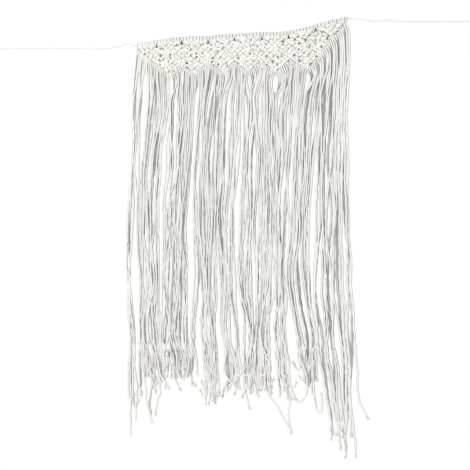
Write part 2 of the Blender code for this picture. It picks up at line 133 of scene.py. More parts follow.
# Single ends that stray: the strand, how far in front it hangs, and its route, x and z
Stray = namedtuple("Stray", "strand front route")
STRAYS = (
    Stray(2, None, ((-266, -786), (-267, -885), (-267, -959))),
    Stray(4, None, ((-255, -815), (-250, -855), (-253, -924))),
    Stray(5, None, ((-241, -785), (-241, -835), (-242, -864))),
    Stray(7, 9, ((-234, -797), (-225, -846), (-221, -878), (-212, -924))),
    Stray(9, None, ((-211, -846), (-215, -883), (-216, -902))),
    Stray(14, None, ((-189, -840), (-188, -862), (-195, -884), (-200, -907))),
    Stray(18, 10, ((-190, -800), (-187, -818), (-178, -830), (-168, -844))),
    Stray(26, None, ((-154, -811), (-151, -831), (-142, -848))),
    Stray(
        31,
        10,
        ((-144, -765), (-143, -790), (-139, -815), (-128, -829), (-117, -815), (-113, -786)),
    ),
    Stray(43, None, ((-113, -795), (-109, -817), (-102, -834))),
    Stray(46, None, ((-80, -760), (-72, -818), (-76, -847), (-73, -881))),
    Stray(57, None, ((-52, -760), (-45, -803), (-42, -851), (-47, -873))),
    Stray(58, 9, ((-19, -762), (-24, -784), (-24, -806), (-17, -822), (-10, -828))),
    Stray(60, -9, ((-7, -815), (-16, -833), (-28, -845), (-31, -862))),
    Stray(64, None, ((2, -800), (5, -841), (2, -851))),
    Stray(70, None, ((21, -824), (27, -860), (35, -883))),
    Stray(79, None, ((49, -790), (47, -823), (52, -847))),
    Stray(88, None, ((81, -774), (76, -829), (86, -859), (105, -885), (117, -908), (127, -921))),
    Stray(90, None, ((98, -750), (108, -797), (125, -839), (134, -857), (132, -895), (137, -933))),
    Stray(98, None, ((133, -784), (134, -812), (139, -845), (148, -864))),
    Stray(
        101,
        10,
        ((162, -767), (171, -790), (176, -815), (176, -842), (170, -860), (157, -870), (148, -865)),
    ),
    Stray(
        110,
        10,
        ((192, -800), (193, -835), (196, -868), (202, -889), (208, -893), (212, -884), (212, -855)),
    ),
    Stray(115, None, ((218, -828), (225, -874), (233, -925))),
    Stray(119, None, ((248, -862), (250, -920), (253, -961))),
    Stray(125, None, ((271, -884), (265, -942), (267, -984))),
    Stray(126, None, ((281, -883), (285, -941), (290, -978))),
    Stray(
        127,
        None,
        ((291, -765), (296, -794), (294, -830), (297, -859), (304, -877), (313, -890)),
    ),
)

# The camera, in line with the middle of the picture
VIEW_AZIMUTH = 14.7
VIEW_DISTANCE = 2.2
VIEW_HEIGHT = -0.477
VIEW_LENS = 70.2
FLOOR_HEIGHT = -1.3
FLOOR_RADIUS = 0.95
FLOOR_STEPS = 64

# The lights: place and size in metres, and power in watts
Light = namedtuple("Light", "name place size power")
LIGHTS = (
    Light("key_light", (-1.5, -2.3, 0.5), 0.8, 34),
    Light("fill_light", (0.9, -2.6, -0.6), 1.0, 8),
)
LIGHT_AIM = (0, 0, -0.4)


class HangingSizes(bpy.types.PropertyGroup):
    """The sizes that a maker would choose."""

    cord: FloatProperty(
        name="Cord", description="Diameter of the cotton cord", default=0.0045, unit="LENGTH"
    )
    cord_lay: FloatProperty(
        name="Cord lay",
        description="Length of one full turn of the cord's plies",
        default=0.014,
        unit="LENGTH",
    )
    rope: FloatProperty(
        name="Rope", description="Diameter of the carrying rope", default=0.005, unit="LENGTH"
    )
    rope_lay: FloatProperty(
        name="Rope lay",
        description="Length of one full turn of the rope's plies",
        default=0.015,
        unit="LENGTH",
    )
    hitch: FloatProperty(
        name="Half hitch",
        description="Length of bar that one cord's double half hitch takes",
        default=0.0053,
        unit="LENGTH",
    )
    wander: FloatProperty(
        name="Wander",
        description="How far a hanging strand strays sideways",
        default=0.0017,
        unit="LENGTH",
    )
    seed: IntProperty(
        name="Seed",
        description="Picks the small irregularities of the heads, the knots and the fringe",
        default=9,
    )


class HangingColours(bpy.types.PropertyGroup):
    """The colours of the cotton and of the floor."""

    band: FloatVectorProperty(
        name="Band",
        description="Cotton of the knotted band",
        subtype="COLOR",
        default=(0.865, 0.855, 0.816),
    )
    # The fringe is the band's own cotton; its colour is set darker than the band's as painted
    # shade, for the shade among the close-hanging strands.
    fringe: FloatVectorProperty(
        name="Fringe",
        description="Cotton of the hanging strands",
        subtype="COLOR",
        default=(0.735, 0.725, 0.692),
    )
    rope: FloatVectorProperty(
        name="Rope",
        description="Cotton of the carrying rope",
        subtype="COLOR",
        default=(0.78, 0.765, 0.72),
    )
    floor: FloatVectorProperty(
        name="Floor",
        description="The studio floor",
        subtype="COLOR",
        default=(0.85, 0.85, 0.84),
    )


# Curves through tables, and the band's own coordinates


def smooth(xs, ys, x):
    """The value at x of the smooth curve through the points (xs, ys)."""
    i = min(max(bisect_right(xs, x) - 1, 0), len(xs) - 2)
    near = range(max(i - 1, 0), min(i + 2, len(xs) - 1))
    steps = {k: (ys[k + 1] - ys[k]) / (xs[k + 1] - xs[k]) for k in near}
    rise_in = (steps.get(i - 1, steps[i]) + steps[i]) / 2
    rise_out = (steps.get(i + 1, steps[i]) + steps[i]) / 2
    length = xs[i + 1] - xs[i]
    u = (x - xs[i]) / length
    start = (1 + 2 * u) * (1 - u) ** 2 * ys[i] + u * (1 - u) ** 2 * length * rise_in
    end = u * u * (3 - 2 * u) * ys[i + 1] + u * u * (u - 1) * length * rise_out
    return start + end


def rope_z(x):
    return smooth([p[0] for p in ROPE_ROUTE], [p[1] for p in ROPE_ROUTE], x)


def band_drop(across, level):
    return LEVEL * smooth(range(REPEATS + 1), REPEAT_STRETCH, across) * level


def band_x(across, level=0):
    """x at a place across the band, which leans where the rope climbs."""
    x = smooth(range(REPEATS + 1), REPEAT_EDGES, across)
    climb = (rope_z(x + CLIMB_REACH) - rope_z(x - CLIMB_REACH)) / (2 * CLIMB_REACH)
    return x + LEAN * climb * band_drop(across, level)


def band_z(across, level):
    return rope_z(band_x(across)) - BAR_START - band_drop(across, level)


def low_level(across):
    """The level of the band's lower edge: two slanting ends and a zigzag between."""
    to_gap = abs(across - round(across))
    zigzag = 2 + 2 * BAR_HALF + 2 * to_gap
    left_end = 2 * (across + BAR_HALF)
    right_end = 2 * (REPEATS + BAR_HALF - across)
    return min(zigzag, left_end, right_end)


def band_point(left_bar, right_bar, y=0.0):
    """The point on two crossing families of bars, counted in repeats from the left."""
    across, level = (left_bar + right_bar) / 2, right_bar - left_bar
    return Vector((band_x(across, level), y, band_z(across, level)))


def sampled(keys, step):
    """Points every step along the smooth curve through the keys."""
    lengths = [0.0]
    for start, end in zip(keys, keys[1:]):
        lengths.append(lengths[-1] + (Vector(end) - Vector(start)).length)
    axes = list(zip(*keys))
    count = max(2, round(lengths[-1] / step))
    places = [lengths[-1] * i / count for i in range(count + 1)]
    return places, [Vector([smooth(lengths, axis, s) for axis in axes]) for s in places]


# Node trees. The slopes say how far a surface has turned aside where its shade starts and
# where it is full. The seam and the shift are in metres.

SIDE_SLOPES = (0.57, 0.96)
SEAM_WIDTH = 0.00001
HITCH_SHIFT = (0.0008, 0.0002, 0.0013)


def add_node(tree, kind, inputs=None, **settings):
    """A node with its settings, and its inputs set or linked."""
    node = tree.nodes.new(kind)
    for name, value in settings.items():
        setattr(node, name, value)
    for socket, value in (inputs or {}).items():
        if isinstance(value, bpy.types.NodeSocket):
            tree.links.new(value, node.inputs[socket])
        else:
            node.inputs[socket].default_value = value
    return node


def math_node(tree, operation, first, second=None):
    inputs = {0: first} if second is None else {0: first, 1: second}
    return add_node(tree, "ShaderNodeMath", inputs, operation=operation).outputs[0]


def map_range(tree, value, start, end, low=0.0, high=1.0, soft=False):
    """A value between start and end, carried over to the range from low to high."""
    node = add_node(
        tree,
        "ShaderNodeMapRange",
        {"Value": value, "From Min": start, "From Max": end, "To Min": low, "To Max": high},
        interpolation_type="SMOOTHSTEP" if soft else "LINEAR",
    )
    return node.outputs["Result"]


def noise(tree, place, scale, detail, roughness=0.5):
    node = add_node(
        tree,
        "ShaderNodeTexNoise",
        {"Vector": place, "Scale": scale, "Detail": detail, "Roughness": roughness},
    )
    return node.outputs["Fac"]


def start_tree(name, inputs):
    """An empty Geometry Nodes tree with its named inputs."""
    tree = bpy.data.node_groups.new(name, "GeometryNodeTree")
    sockets = [("Geometry", "NodeSocketGeometry"), *inputs, ("Material", "NodeSocketMaterial")]
    for label, kind in sockets:
        tree.interface.new_socket(label, in_out="INPUT", socket_type=kind)
    tree.interface.new_socket("Geometry", in_out="OUTPUT", socket_type="NodeSocketGeometry")
    return tree, tree.nodes.new("NodeGroupInput").outputs


def end_tree(tree, given, geometry):
    """Realizes the instances, sets the material and ends the tree."""
    real = add_node(tree, "GeometryNodeRealizeInstances", {"Geometry": geometry})
    dressed = add_node(
        tree,
        "GeometryNodeSetMaterial",
        {"Geometry": real.outputs["Geometry"], "Material": given["Material"]},
    )
    add_node(tree, "NodeGroupOutput", {"Geometry": dressed.outputs["Geometry"]})
    return tree


def attribute(tree, name, kind):
    node = add_node(tree, "GeometryNodeInputNamedAttribute", {"Name": name}, data_type=kind)
    return node.outputs["Attribute"]


def store(tree, geometry, name, value, kind, domain):
    """Keeps a value under a name in the geometry."""
    node = add_node(
        tree,
        "GeometryNodeStoreNamedAttribute",
        {"Geometry": geometry, "Name": name, "Value": value},
        data_type=kind,
        domain=domain,
    )
    return node.outputs["Geometry"]


def capture(tree, geometry, value, label):
    """Holds a value as it is at a curve's points: the curve, and the value."""
    node = add_node(tree, "GeometryNodeCaptureAttribute", domain="POINT")
    node.capture_items.new("FLOAT", label)
    tree.links.new(geometry, node.inputs["Geometry"])
    tree.links.new(value, node.inputs[label])
    return node.outputs["Geometry"], node.outputs[label]


def set_on_points(tree, points, knot, turn, size):
    """The object in a socket, repeated on points."""
    shape = add_node(
        tree,
        "GeometryNodeObjectInfo",
        {"Object": knot, "As Instance": True},
        transform_space="ORIGINAL",
    )
    copies = add_node(
        tree,
        "GeometryNodeInstanceOnPoints",
        {
            "Points": points,
            "Instance": shape.outputs["Geometry"],
            "Rotation": turn,
            "Scale": size,
        },
    )
    return copies.outputs["Instances"]


def smooth_curve(tree, mesh, step):
    """Chains of edges as smooth curves with a point every step."""
    curve = add_node(tree, "GeometryNodeMeshToCurve", {"Mesh": mesh}).outputs["Curve"]
    curve = add_node(
        tree, "GeometryNodeCurveSplineType", {"Curve": curve}, spline_type="CATMULL_ROM"
    ).outputs["Curve"]
    return add_node(
        tree, "GeometryNodeResampleCurve", {"Curve": curve, "Length": step}, mode="LENGTH"
    ).outputs["Curve"]


def shading(tree):
    """1 where a cord's surface faces its neighbours along the hanging, and 0 in front.

    It is less at the sides of a lock, where a strand has no neighbour.
    """
    normal = add_node(tree, "GeometryNodeInputNormal")
    parts = add_node(tree, "ShaderNodeSeparateXYZ", {"Vector": normal.outputs["Normal"]})
    aside = map_range(tree, math_node(tree, "ABSOLUTE", parts.outputs["X"]), *SIDE_SLOPES)
    covered = math_node(tree, "SUBTRACT", 1.0, attribute(tree, "exposed", "FLOAT"))
    return math_node(tree, "MULTIPLY", aside, covered)


def cord_tube_tree():
    """Sweeps a cord along chains of edges, with U along it in metres and V around it."""
    tree, given = start_tree(
        "cord_tubes", [("Step", "NodeSocketFloat"), ("Sides", "NodeSocketInt")]
    )
    curve = smooth_curve(tree, given["Geometry"], given["Step"])
    parameter = add_node(tree, "GeometryNodeSplineParameter").outputs
    path, along = capture(tree, curve, parameter["Length"], "Along")
    arc = add_node(
        tree,
        "GeometryNodeCurveArc",
        {
            "Resolution": math_node(tree, "ADD", given["Sides"], 1.0),
            "Radius": 1.0,
            "Start Angle": 0.0,
            "Sweep Angle": 2 * math.pi,
        },
    )
    ring, around = capture(tree, arc.outputs["Curve"], parameter["Factor"], "Around")
    tube = add_node(
        tree,
        "GeometryNodeCurveToMesh",
        {
            "Curve": path,
            "Profile Curve": ring,
            "Scale": attribute(tree, "cord_radius", "FLOAT"),
        },
    )
    uv = add_node(tree, "ShaderNodeCombineXYZ", {"X": along, "Y": around}).outputs["Vector"]
    mapped = store(tree, tube.outputs["Mesh"], "UVMap", uv, "FLOAT2", "CORNER")
    closed = add_node(
        tree, "GeometryNodeMergeByDistance", {"Geometry": mapped, "Distance": SEAM_WIDTH}
    )
    shaded = store(
        tree, closed.outputs["Geometry"], "shade", shading(tree), "FLOAT", "POINT"
    )
    soft = add_node(
        tree, "GeometryNodeSetShadeSmooth", {"Geometry": shaded, "Shade Smooth": True}
    )
    return end_tree(tree, given, soft.outputs["Geometry"])


def knot_tree():
    """Sets one knot on every point, turned and sized by the point's own attributes."""
    tree, given = start_tree("knots_on_points", [("Knot", "NodeSocketObject")])
    turn = attribute(tree, "turn", "FLOAT_VECTOR")
    size = attribute(tree, "size", "FLOAT_VECTOR")
    copies = set_on_points(tree, given["Geometry"], given["Knot"], turn, size)
    return end_tree(tree, given, copies)


def hitch_tree():
    """Ties a hitch at every pitch along the bars, each a little different."""
    tree, given = start_tree(
        "hitches_along_bars",
        [
            ("Hitch", "NodeSocketObject"),
            ("Pitch", "NodeSocketFloat"),
            ("Unevenness", "NodeSocketFloat"),
            ("Seed", "NodeSocketInt"),
        ],
    )
    curve = smooth_curve(tree, given["Geometry"], given["Pitch"])
    tangent = add_node(tree, "GeometryNodeInputTangent")
    turn = add_node(
        tree,
        "FunctionNodeAlignRotationToVector",
        {"Vector": tangent.outputs["Tangent"]},
        axis="X",
        pivot_axis="Y",
    )
    shift = add_node(
        tree,
        "FunctionNodeRandomValue",
        {0: [-reach for reach in HITCH_SHIFT], 1: HITCH_SHIFT, "Seed": given["Seed"]},
        data_type="FLOAT_VECTOR",
    )
    points = add_node(
        tree, "GeometryNodeSetPosition", {"Geometry": curve, "Offset": shift.outputs[0]}
    )
    size = add_node(
        tree,
        "FunctionNodeRandomValue",
        {
            2: math_node(tree, "SUBTRACT", 1.0, given["Unevenness"]),
            3: math_node(tree, "ADD", 1.0, given["Unevenness"]),
            "Seed": given["Seed"],
        },
        data_type="FLOAT",
    )
    copies = set_on_points(
        tree,
        points.outputs["Geometry"],
        given["Hitch"],
        turn.outputs["Rotation"],
        size.outputs[1],
    )
    return end_tree(tree, given, copies)


def group_named(name, make):
    """A node group, which is made when it is first asked for."""
    return bpy.data.node_groups.get(name) or make()


def link(name, data):
    """An object of a mesh, a camera or a light, in the scene."""
    piece = bpy.data.objects.new(name, data)
    bpy.context.scene.collection.objects.link(piece)
    return piece


def grown(tree, source, name, values):
    """The plain mesh object that a tree makes of a source, which is then removed."""
    modifier = source.modifiers.new(tree.name, "NODES")
    modifier.node_group = tree
    for item in tree.interface.items_tree:
        if item.in_out == "INPUT" and item.name in values:
            modifier[item.identifier] = values[item.name]
    bpy.context.view_layer.update()
    graph = bpy.context.evaluated_depsgraph_get()
    mesh = bpy.data.meshes.new_from_object(source.evaluated_get(graph), depsgraph=graph)
    source.modifiers.remove(modifier)
    bpy.data.objects.remove(source)
    return link(name, mesh)


def mark(mesh, name, values, kind="FLOAT"):
    """Keeps a number, or three, for each of the mesh's points."""
    part = "value" if kind == "FLOAT" else "vector"
    mesh.attributes.new(name, kind, "POINT").data.foreach_set(part, values)


def chains(name, paths, exposed=()):
    """An object of edge chains in metres: each path lists (point in mm, radius in mm)."""
    points, edges, radii = [], [], []
    for path in paths:
        first = len(points)
        points += [Vector(point) * MM for point, _ in path]
        radii += [radius * MM for _, radius in path]
        edges += [(first + i, first + i + 1) for i in range(len(path) - 1)]
    mesh = bpy.data.meshes.new(name)
    mesh.from_pydata(points, edges, [])
    mark(mesh, "cord_radius", radii)
    shares = [share for share, path in zip(exposed, paths) for _ in path]
    if shares:
        mark(mesh, "exposed", shares)
    return link(name, mesh)


def tubes(name, paths, step, sides, material, exposed=()):
    """Cords along the paths, as one mesh object; step is in millimetres.

    What is exposed, from 0 to 1 for each path, isn't shaded by neighbours.
    """
    values = {"Step": step * MM, "Sides": sides, "Material": material}
    tree = group_named("cord_tubes", cord_tube_tree)
    return grown(tree, chains(name + "_paths", paths, exposed), name, values)


CLOSED_END = 0.02


def tied_cord(points, radius):
    """A path of even radius whose ends taper to nothing."""
    sizes = [CLOSED_END, *[radius] * (len(points) - 2), CLOSED_END]
    return list(zip(points, sizes))


Place = namedtuple("Place", "point turn size")


def set_out(name, knot, places, material):
    """A knot repeated at every place, as one mesh object. The knot itself is removed."""
    mesh = bpy.data.meshes.new(name)
    mesh.from_pydata([Vector(place.point) * MM for place in places], [], [])
    for label in ("turn", "size"):
        values = [part for place in places for part in getattr(place, label)]
        mark(mesh, label, values, "FLOAT_VECTOR")
    tree = group_named("knots_on_points", knot_tree)
    piece = grown(tree, link(name, mesh), name, {"Knot": knot, "Material": material})
    bpy.data.objects.remove(knot)
    return piece


# Materials. The scales are in patterns to the metre, the places and depths in metres.

PLY_ROUNDNESS = 0.55
FIBRES_ACROSS = 9.0
FIBRES_ALONG = 260.0
GROOVE_LIGHT = 0.62
PATCH_SCALE = 38.0
SPOT_SCALE = 230.0
FIBRE_SCALE = 900.0
STREAK_SCALE = 360.0
STREAK_SHAPE = (1, 1, 0.2)
UNDER_BAND = (-0.22, -0.1)
UNDER_BAND_SHADE = 0.5
LOOSE_ENDS = (-0.9, -0.76)
LOOSE_ENDS_SHADE = 0.4
DEEPEST_SHADE = 0.97
# Painted shade in small round spots, drawn as holes between the knots:
HOLE_SCALE = 75.0
HOLE_RIM = (0.3, 0.15)
HOLE_DEPTHS = (0.0052, 0.0036)
HOLE_RARITY = 1.3
ROUGHNESS = 0.82
ROUGHNESS_SWING = 0.12

# The colour and how much of its light shows, a share that paints this copy of the cotton
# lighter or darker; the lay; the plies' relief and how dark the painted shade in their
# grooves is; and inputs of the tone group, whose settings paint shade
FinishAndShade = namedtuple("FinishAndShade", "colour light lay relief grooves tones")
FINISHES_AND_SHADES = {
    # The band's cotton, with painted shade deep in the band, beside neighbours and in painted
    # holes.
    "band_cotton": FinishAndShade(
        "band",
        0.96,
        "cord_lay",
        0.0004,
        0.9,
        {
            "Side": 0.12,
            "Dark": 0.85,
            "Shallow": 0.0038,
            "Deep": 0.001,
            "Spots": 0.25,
            "Holes": 0.95,
        },
    ),
    # The band's cotton painted a little lighter, as painted light on the bars, with less painted
    # shade deep in them and in their grooves.
    "bar_cotton": FinishAndShade(
        "band",
        1.0,
        "cord_lay",
        0.0003,
        0.4,
        {"Dark": 0.93, "Shallow": 0.003, "Deep": 0.001, "Spots": 0.24, "Holes": 0.9},
    ),
    # The band's cotton painted darker, as painted shade on the lark's heads, with more painted
    # shade at their sides.
    "header_cotton": FinishAndShade(
        "band",
        0.84,
        "cord_lay",
        0.0004,
        0.9,
        {"Side": 0.3, "Dark": 0.8, "Shallow": 0.0028, "Deep": 0.001, "Spots": 0.3},
    ),
    # The band's cotton at a small share of its light: painted shade, for the cords that fill the
    # openings under the rope.
    "shaded_cotton": FinishAndShade("band", 0.28, "cord_lay", 0.0004, 0.6, {}),
    # The fringe's colour with strong painted shade at the strands' sides, in broken streaks, and
    # deep in the fringe.
    "fringe_cotton": FinishAndShade(
        "fringe",
        1.0,
        "cord_lay",
        0.0005,
        0.6,
        {
            "Side": 1.05,
            "Streaks": 5.5,
            "Dark": 0.76,
            "Shallow": 0.0025,
            "Deep": 0.0,
            "Spots": 0.12,
        },
    ),
    # The fringe's colour with little painted side shade, for the loose tips.
    "loose_cotton": FinishAndShade("fringe", 1.0, "cord_lay", 0.0005, 0.6, {"Side": 0.1}),
    "rope_cotton": FinishAndShade("rope", 1.0, "rope_lay", 0.0002, 0.6, {}),
}


def start_group(name, inputs, outputs):
    """An empty shader group with its inputs' defaults and its outputs."""
    group = bpy.data.node_groups.new(name, "ShaderNodeTree")
    for label, value in inputs.items():
        socket = group.interface.new_socket(
            label, in_out="INPUT", socket_type="NodeSocketFloat"
        )
        socket.default_value = value
    for label in outputs:
        group.interface.new_socket(label, in_out="OUTPUT", socket_type="NodeSocketFloat")
    given = add_node(group, "NodeGroupInput").outputs
    return group, given, add_node(group, "NodeGroupOutput")


def plies_group():
    """The twisted plies of a cord from its UV map: a height, and a mask of the grooves."""
    group, given, result = start_group(
        "cotton_plies", {"Plies": 3.0, "Lay": 0.014, "Fibre": 0.25}, ["Height", "Groove"]
    )
    uv = add_node(group, "ShaderNodeUVMap", uv_map="UVMap")
    parts = add_node(group, "ShaderNodeSeparateXYZ", {"Vector": uv.outputs["UV"]})
    turns = math_node(group, "DIVIDE", parts.outputs["X"], given["Lay"])
    place = math_node(group, "ADD", turns, parts.outputs["Y"])
    phase = math_node(group, "MULTIPLY", place, given["Plies"])
    fold = math_node(group, "PINGPONG", phase, 0.5)
    crown = math_node(group, "POWER", math_node(group, "MULTIPLY", fold, 2.0), PLY_ROUNDNESS)
    streak = add_node(
        group,
        "ShaderNodeCombineXYZ",
        {
            "X": math_node(group, "MULTIPLY", phase, FIBRES_ACROSS),
            "Y": math_node(group, "MULTIPLY", parts.outputs["X"], FIBRES_ALONG),
        },
    )
    fibres = noise(group, streak.outputs["Vector"], 1.0, 3.0, 0.6)
    fine = math_node(group, "MULTIPLY", fibres, given["Fibre"])
    group.links.new(math_node(group, "ADD", crown, fine), result.inputs["Height"])
    depth = math_node(group, "SUBTRACT", 1.0, crown)
    group.links.new(math_node(group, "POWER", depth, 2.0), result.inputs["Groove"])
    return group


def mottle(group, given, place, fibres):
    """Large patches, fibres and spots, which swing about 0."""
    both = math_node(group, "ADD", noise(group, place, PATCH_SCALE, 2.0), fibres)
    swing = math_node(group, "MULTIPLY", math_node(group, "SUBTRACT", both, 1.0), given["Mottle"])
    spots = math_node(group, "SUBTRACT", noise(group, place, SPOT_SCALE, 1.0), 0.5)
    return math_node(group, "ADD", swing, math_node(group, "MULTIPLY", spots, given["Spots"]))


def side_light(group, given, place, height):
    """How light a cord's sides are beside its neighbours, in broken streaks.

    Hanging strands are darkest under the band, where they lie close, and their loose ends
    are lighter.
    """
    long = add_node(
        group, "ShaderNodeVectorMath", {0: place, 1: STREAK_SHAPE}, operation="MULTIPLY"
    )
    streak = noise(group, long.outputs["Vector"], STREAK_SCALE, 1.0)
    streak = math_node(group, "SUBTRACT", streak, 0.5)
    streak = math_node(group, "MULTIPLY", streak, given["Streaks"])
    side = math_node(group, "MAXIMUM", math_node(group, "ADD", streak, given["Side"]), 0.0)
    hanging = math_node(group, "GREATER_THAN", given["Streaks"], 0.0)
    dense = map_range(group, height, *UNDER_BAND, high=UNDER_BAND_SHADE)
    side = math_node(group, "ADD", side, math_node(group, "MULTIPLY", dense, hanging))
    side = math_node(group, "MINIMUM", side, DEEPEST_SHADE)
    beside = add_node(group, "ShaderNodeAttribute", attribute_name="shade")
    shade = math_node(group, "MULTIPLY", beside.outputs["Fac"], side)
    sparse = map_range(group, height, *LOOSE_ENDS, low=LOOSE_ENDS_SHADE)
    shade = math_node(group, "MULTIPLY", shade, sparse)
    return math_node(group, "SUBTRACT", 1.0, shade)


def hole_light(group, given, parts, depth):
    """1, and less in small round spots of painted shade drawn as holes, which lie deeper than the
    fronts of the knots.
    """
    flat = add_node(group, "ShaderNodeCombineXYZ", {"X": parts["X"], "Y": parts["Z"]})
    spots = add_node(
        group,
        "ShaderNodeTexVoronoi",
        {"Vector": flat.outputs["Vector"], "Scale": HOLE_SCALE},
        voronoi_dimensions="2D",
    )
    hole = map_range(group, spots.outputs["Distance"], *HOLE_RIM, soft=True)
    below = map_range(group, depth, *HOLE_DEPTHS, soft=True)
    colour = add_node(group, "ShaderNodeSeparateColor", {"Color": spots.outputs["Color"]})
    chance = math_node(group, "POWER", colour.outputs[0], HOLE_RARITY)
    for share in (below, chance, given["Holes"]):
        hole = math_node(group, "MULTIPLY", hole, share)
    return math_node(group, "SUBTRACT", 1.0, hole)


def tone_and_shade_group():
    """The cotton's tone, with painted shade: darker deep in the piece, beside neighbours and in
    painted holes.
    """
    group, given, result = start_group(
        "cotton_tone",
        {
            "Mottle": 0.05,
            "Shallow": 0.004,
            "Deep": 0.0005,
            "Dark": 1.0,
            "Side": 0.0,
            "Streaks": 0.0,
            "Spots": 0.0,
            "Holes": 0.0,
        },
        ["Tone", "Roughness"],
    )
    place = add_node(group, "ShaderNodeTexCoord").outputs["Object"]
    parts = add_node(group, "ShaderNodeSeparateXYZ", {"Vector": place}).outputs
    depth = math_node(group, "ABSOLUTE", parts["Y"])
    fibres = noise(group, place, FIBRE_SCALE, 4.0)
    # Painted shade: the colour is darker where a point lies deep in the piece.
    inside = map_range(
        group, depth, given["Deep"], given["Shallow"], low=given["Dark"], soft=True
    )
    lit = math_node(group, "MULTIPLY", side_light(group, given, place, parts["Z"]), inside)
    lit = math_node(group, "MULTIPLY", lit, hole_light(group, given, parts, depth))
    tone = math_node(group, "ADD", lit, mottle(group, given, place, fibres))
    group.links.new(tone, result.inputs["Tone"])
    rough = math_node(group, "MULTIPLY", fibres, ROUGHNESS_SWING)
    group.links.new(math_node(group, "ADD", rough, ROUGHNESS), result.inputs["Roughness"])
    return group


def mixed(tree, share, colour, light):
    """A colour mixed with a darker one, which is light times as bright."""
    mix = add_node(tree, "ShaderNodeMix", {"Factor": share}, data_type="RGBA")
    mix.inputs[6].default_value = (*colour, 1.0)
    mix.inputs[7].default_value = (*(light * part for part in colour), 1.0)
    return mix.outputs[2]


def cotton(name):
    """One of the matt, plied, undyed cottons, with its painted light and shade, which is made when
    it is first asked for.
    """
    if name in bpy.data.materials:
        return bpy.data.materials[name]
    finish_and_shade = FINISHES_AND_SHADES[name]
    sizes, colours = bpy.context.scene.hanging_sizes, bpy.context.scene.hanging_colours
    colour = [finish_and_shade.light * part for part in getattr(colours, finish_and_shade.colour)]
    material = bpy.data.materials.new(name)
    material.use_nodes = True
    tree = material.node_tree
    shader = tree.nodes["Principled BSDF"]
    plies = add_node(tree, "ShaderNodeGroup", node_tree=group_named("cotton_plies", plies_group))
    plies.inputs["Lay"].default_value = getattr(sizes, finish_and_shade.lay)
    tone = add_node(tree, "ShaderNodeGroup", node_tree=group_named("cotton_tone", tone_and_shade_group))
    for label, value in finish_and_shade.tones.items():
        tone.inputs[label].default_value = value
    # Painted shade in the grooves between the plies: the colour is mixed towards a darker one
    # there.
    grooves = math_node(tree, "MULTIPLY", plies.outputs["Groove"], finish_and_shade.grooves)
    plied = mixed(tree, grooves, colour, GROOVE_LIGHT)
    shade = add_node(tree, "ShaderNodeVectorMath", {0: plied}, operation="SCALE")
    tree.links.new(tone.outputs["Tone"], shade.inputs["Scale"])
    tree.links.new(shade.outputs["Vector"], shader.inputs["Base Color"])
    tree.links.new(tone.outputs["Roughness"], shader.inputs["Roughness"])
    shader.inputs["Specular IOR Level"].default_value = 0.25
    shader.inputs["Sheen Weight"].default_value = 0.15
    shader.inputs["Sheen Roughness"].default_value = 0.6
    bump = add_node(
        tree,
        "ShaderNodeBump",
        {"Strength": 0.8, "Distance": finish_and_shade.relief, "Height": plies.outputs["Height"]},
    )
    tree.links.new(bump.outputs["Normal"], shader.inputs["Normal"])
    return material


def floor_paint(colour):
    """A matt studio floor, very slightly uneven."""
    material = bpy.data.materials.new("floor")
    material.use_nodes = True
    tree = material.node_tree
    shader = tree.nodes["Principled BSDF"]
    shader.inputs["Roughness"].default_value = 0.9
    place = add_node(tree, "ShaderNodeTexCoord").outputs["Object"]
    uneven = mixed(tree, noise(tree, place, 6.0, 3.0), colour, 0.97)
    tree.links.new(uneven, shader.inputs["Base Color"])
    return material


def finish_piece(piece, slot, *nodes):
    """Every piece rides on the one body and takes its CAD nodes' places. The slot is not used."""
    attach(piece, "root")
    if nodes:
        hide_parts(*nodes)
    return piece


# The carrying rope

Rope = namedtuple("Rope", "points object")
ROPE_SIDES = 12
ROPE_RING_STEP = 1.3
ROPE_PLIES = 3
PLY_DEPTH = 0.20
NARROW_ENDS = (0.55, 0.88, 1.0)
KEY_STEP = 5

# The eye at a rope's end, outwards from the rope, and the turns that hold it
EYE = (
    (0.0, 0.0, 0.0), (5.0, 0.0, 1.4), (11.0, 0.0, 2.6), (18.0, 0.0, 5.6), (27.0, 0.0, 9.2),
    (36.0, 0.0, 9.0), (43.0, 0.0, 4.0), (43.5, 0.0, -3.0), (37.0, 0.0, -8.8),
    (27.0, 0.0, -9.2), (18.0, 0.0, -5.6), (11.0, 0.0, -2.8), (5.0, -0.5, -2.6),
    (-1.0, -2.5, -4.4), (-9.0, -3.5, -7.6),
)
WRAP_TURNS = 3
WRAP_STEPS = 10
WRAP_START = 1.6
WRAP_LENGTH = 11.2
WRAP_REACH = 4.9
WRAP_END_REACH = 3.0


def rope_frames(points):
    """Two directions square to the path at every point, without any needless turning."""
    frames = []
    normal = Vector((0, 1, 0))
    for i, point in enumerate(points):
        before, after = points[max(i - 1, 0)], points[min(i + 1, len(points) - 1)]
        along = (after - before).normalized()
        normal = (normal - along * normal.dot(along)).normalized()
        frames.append((normal, along.cross(normal)))
    return frames


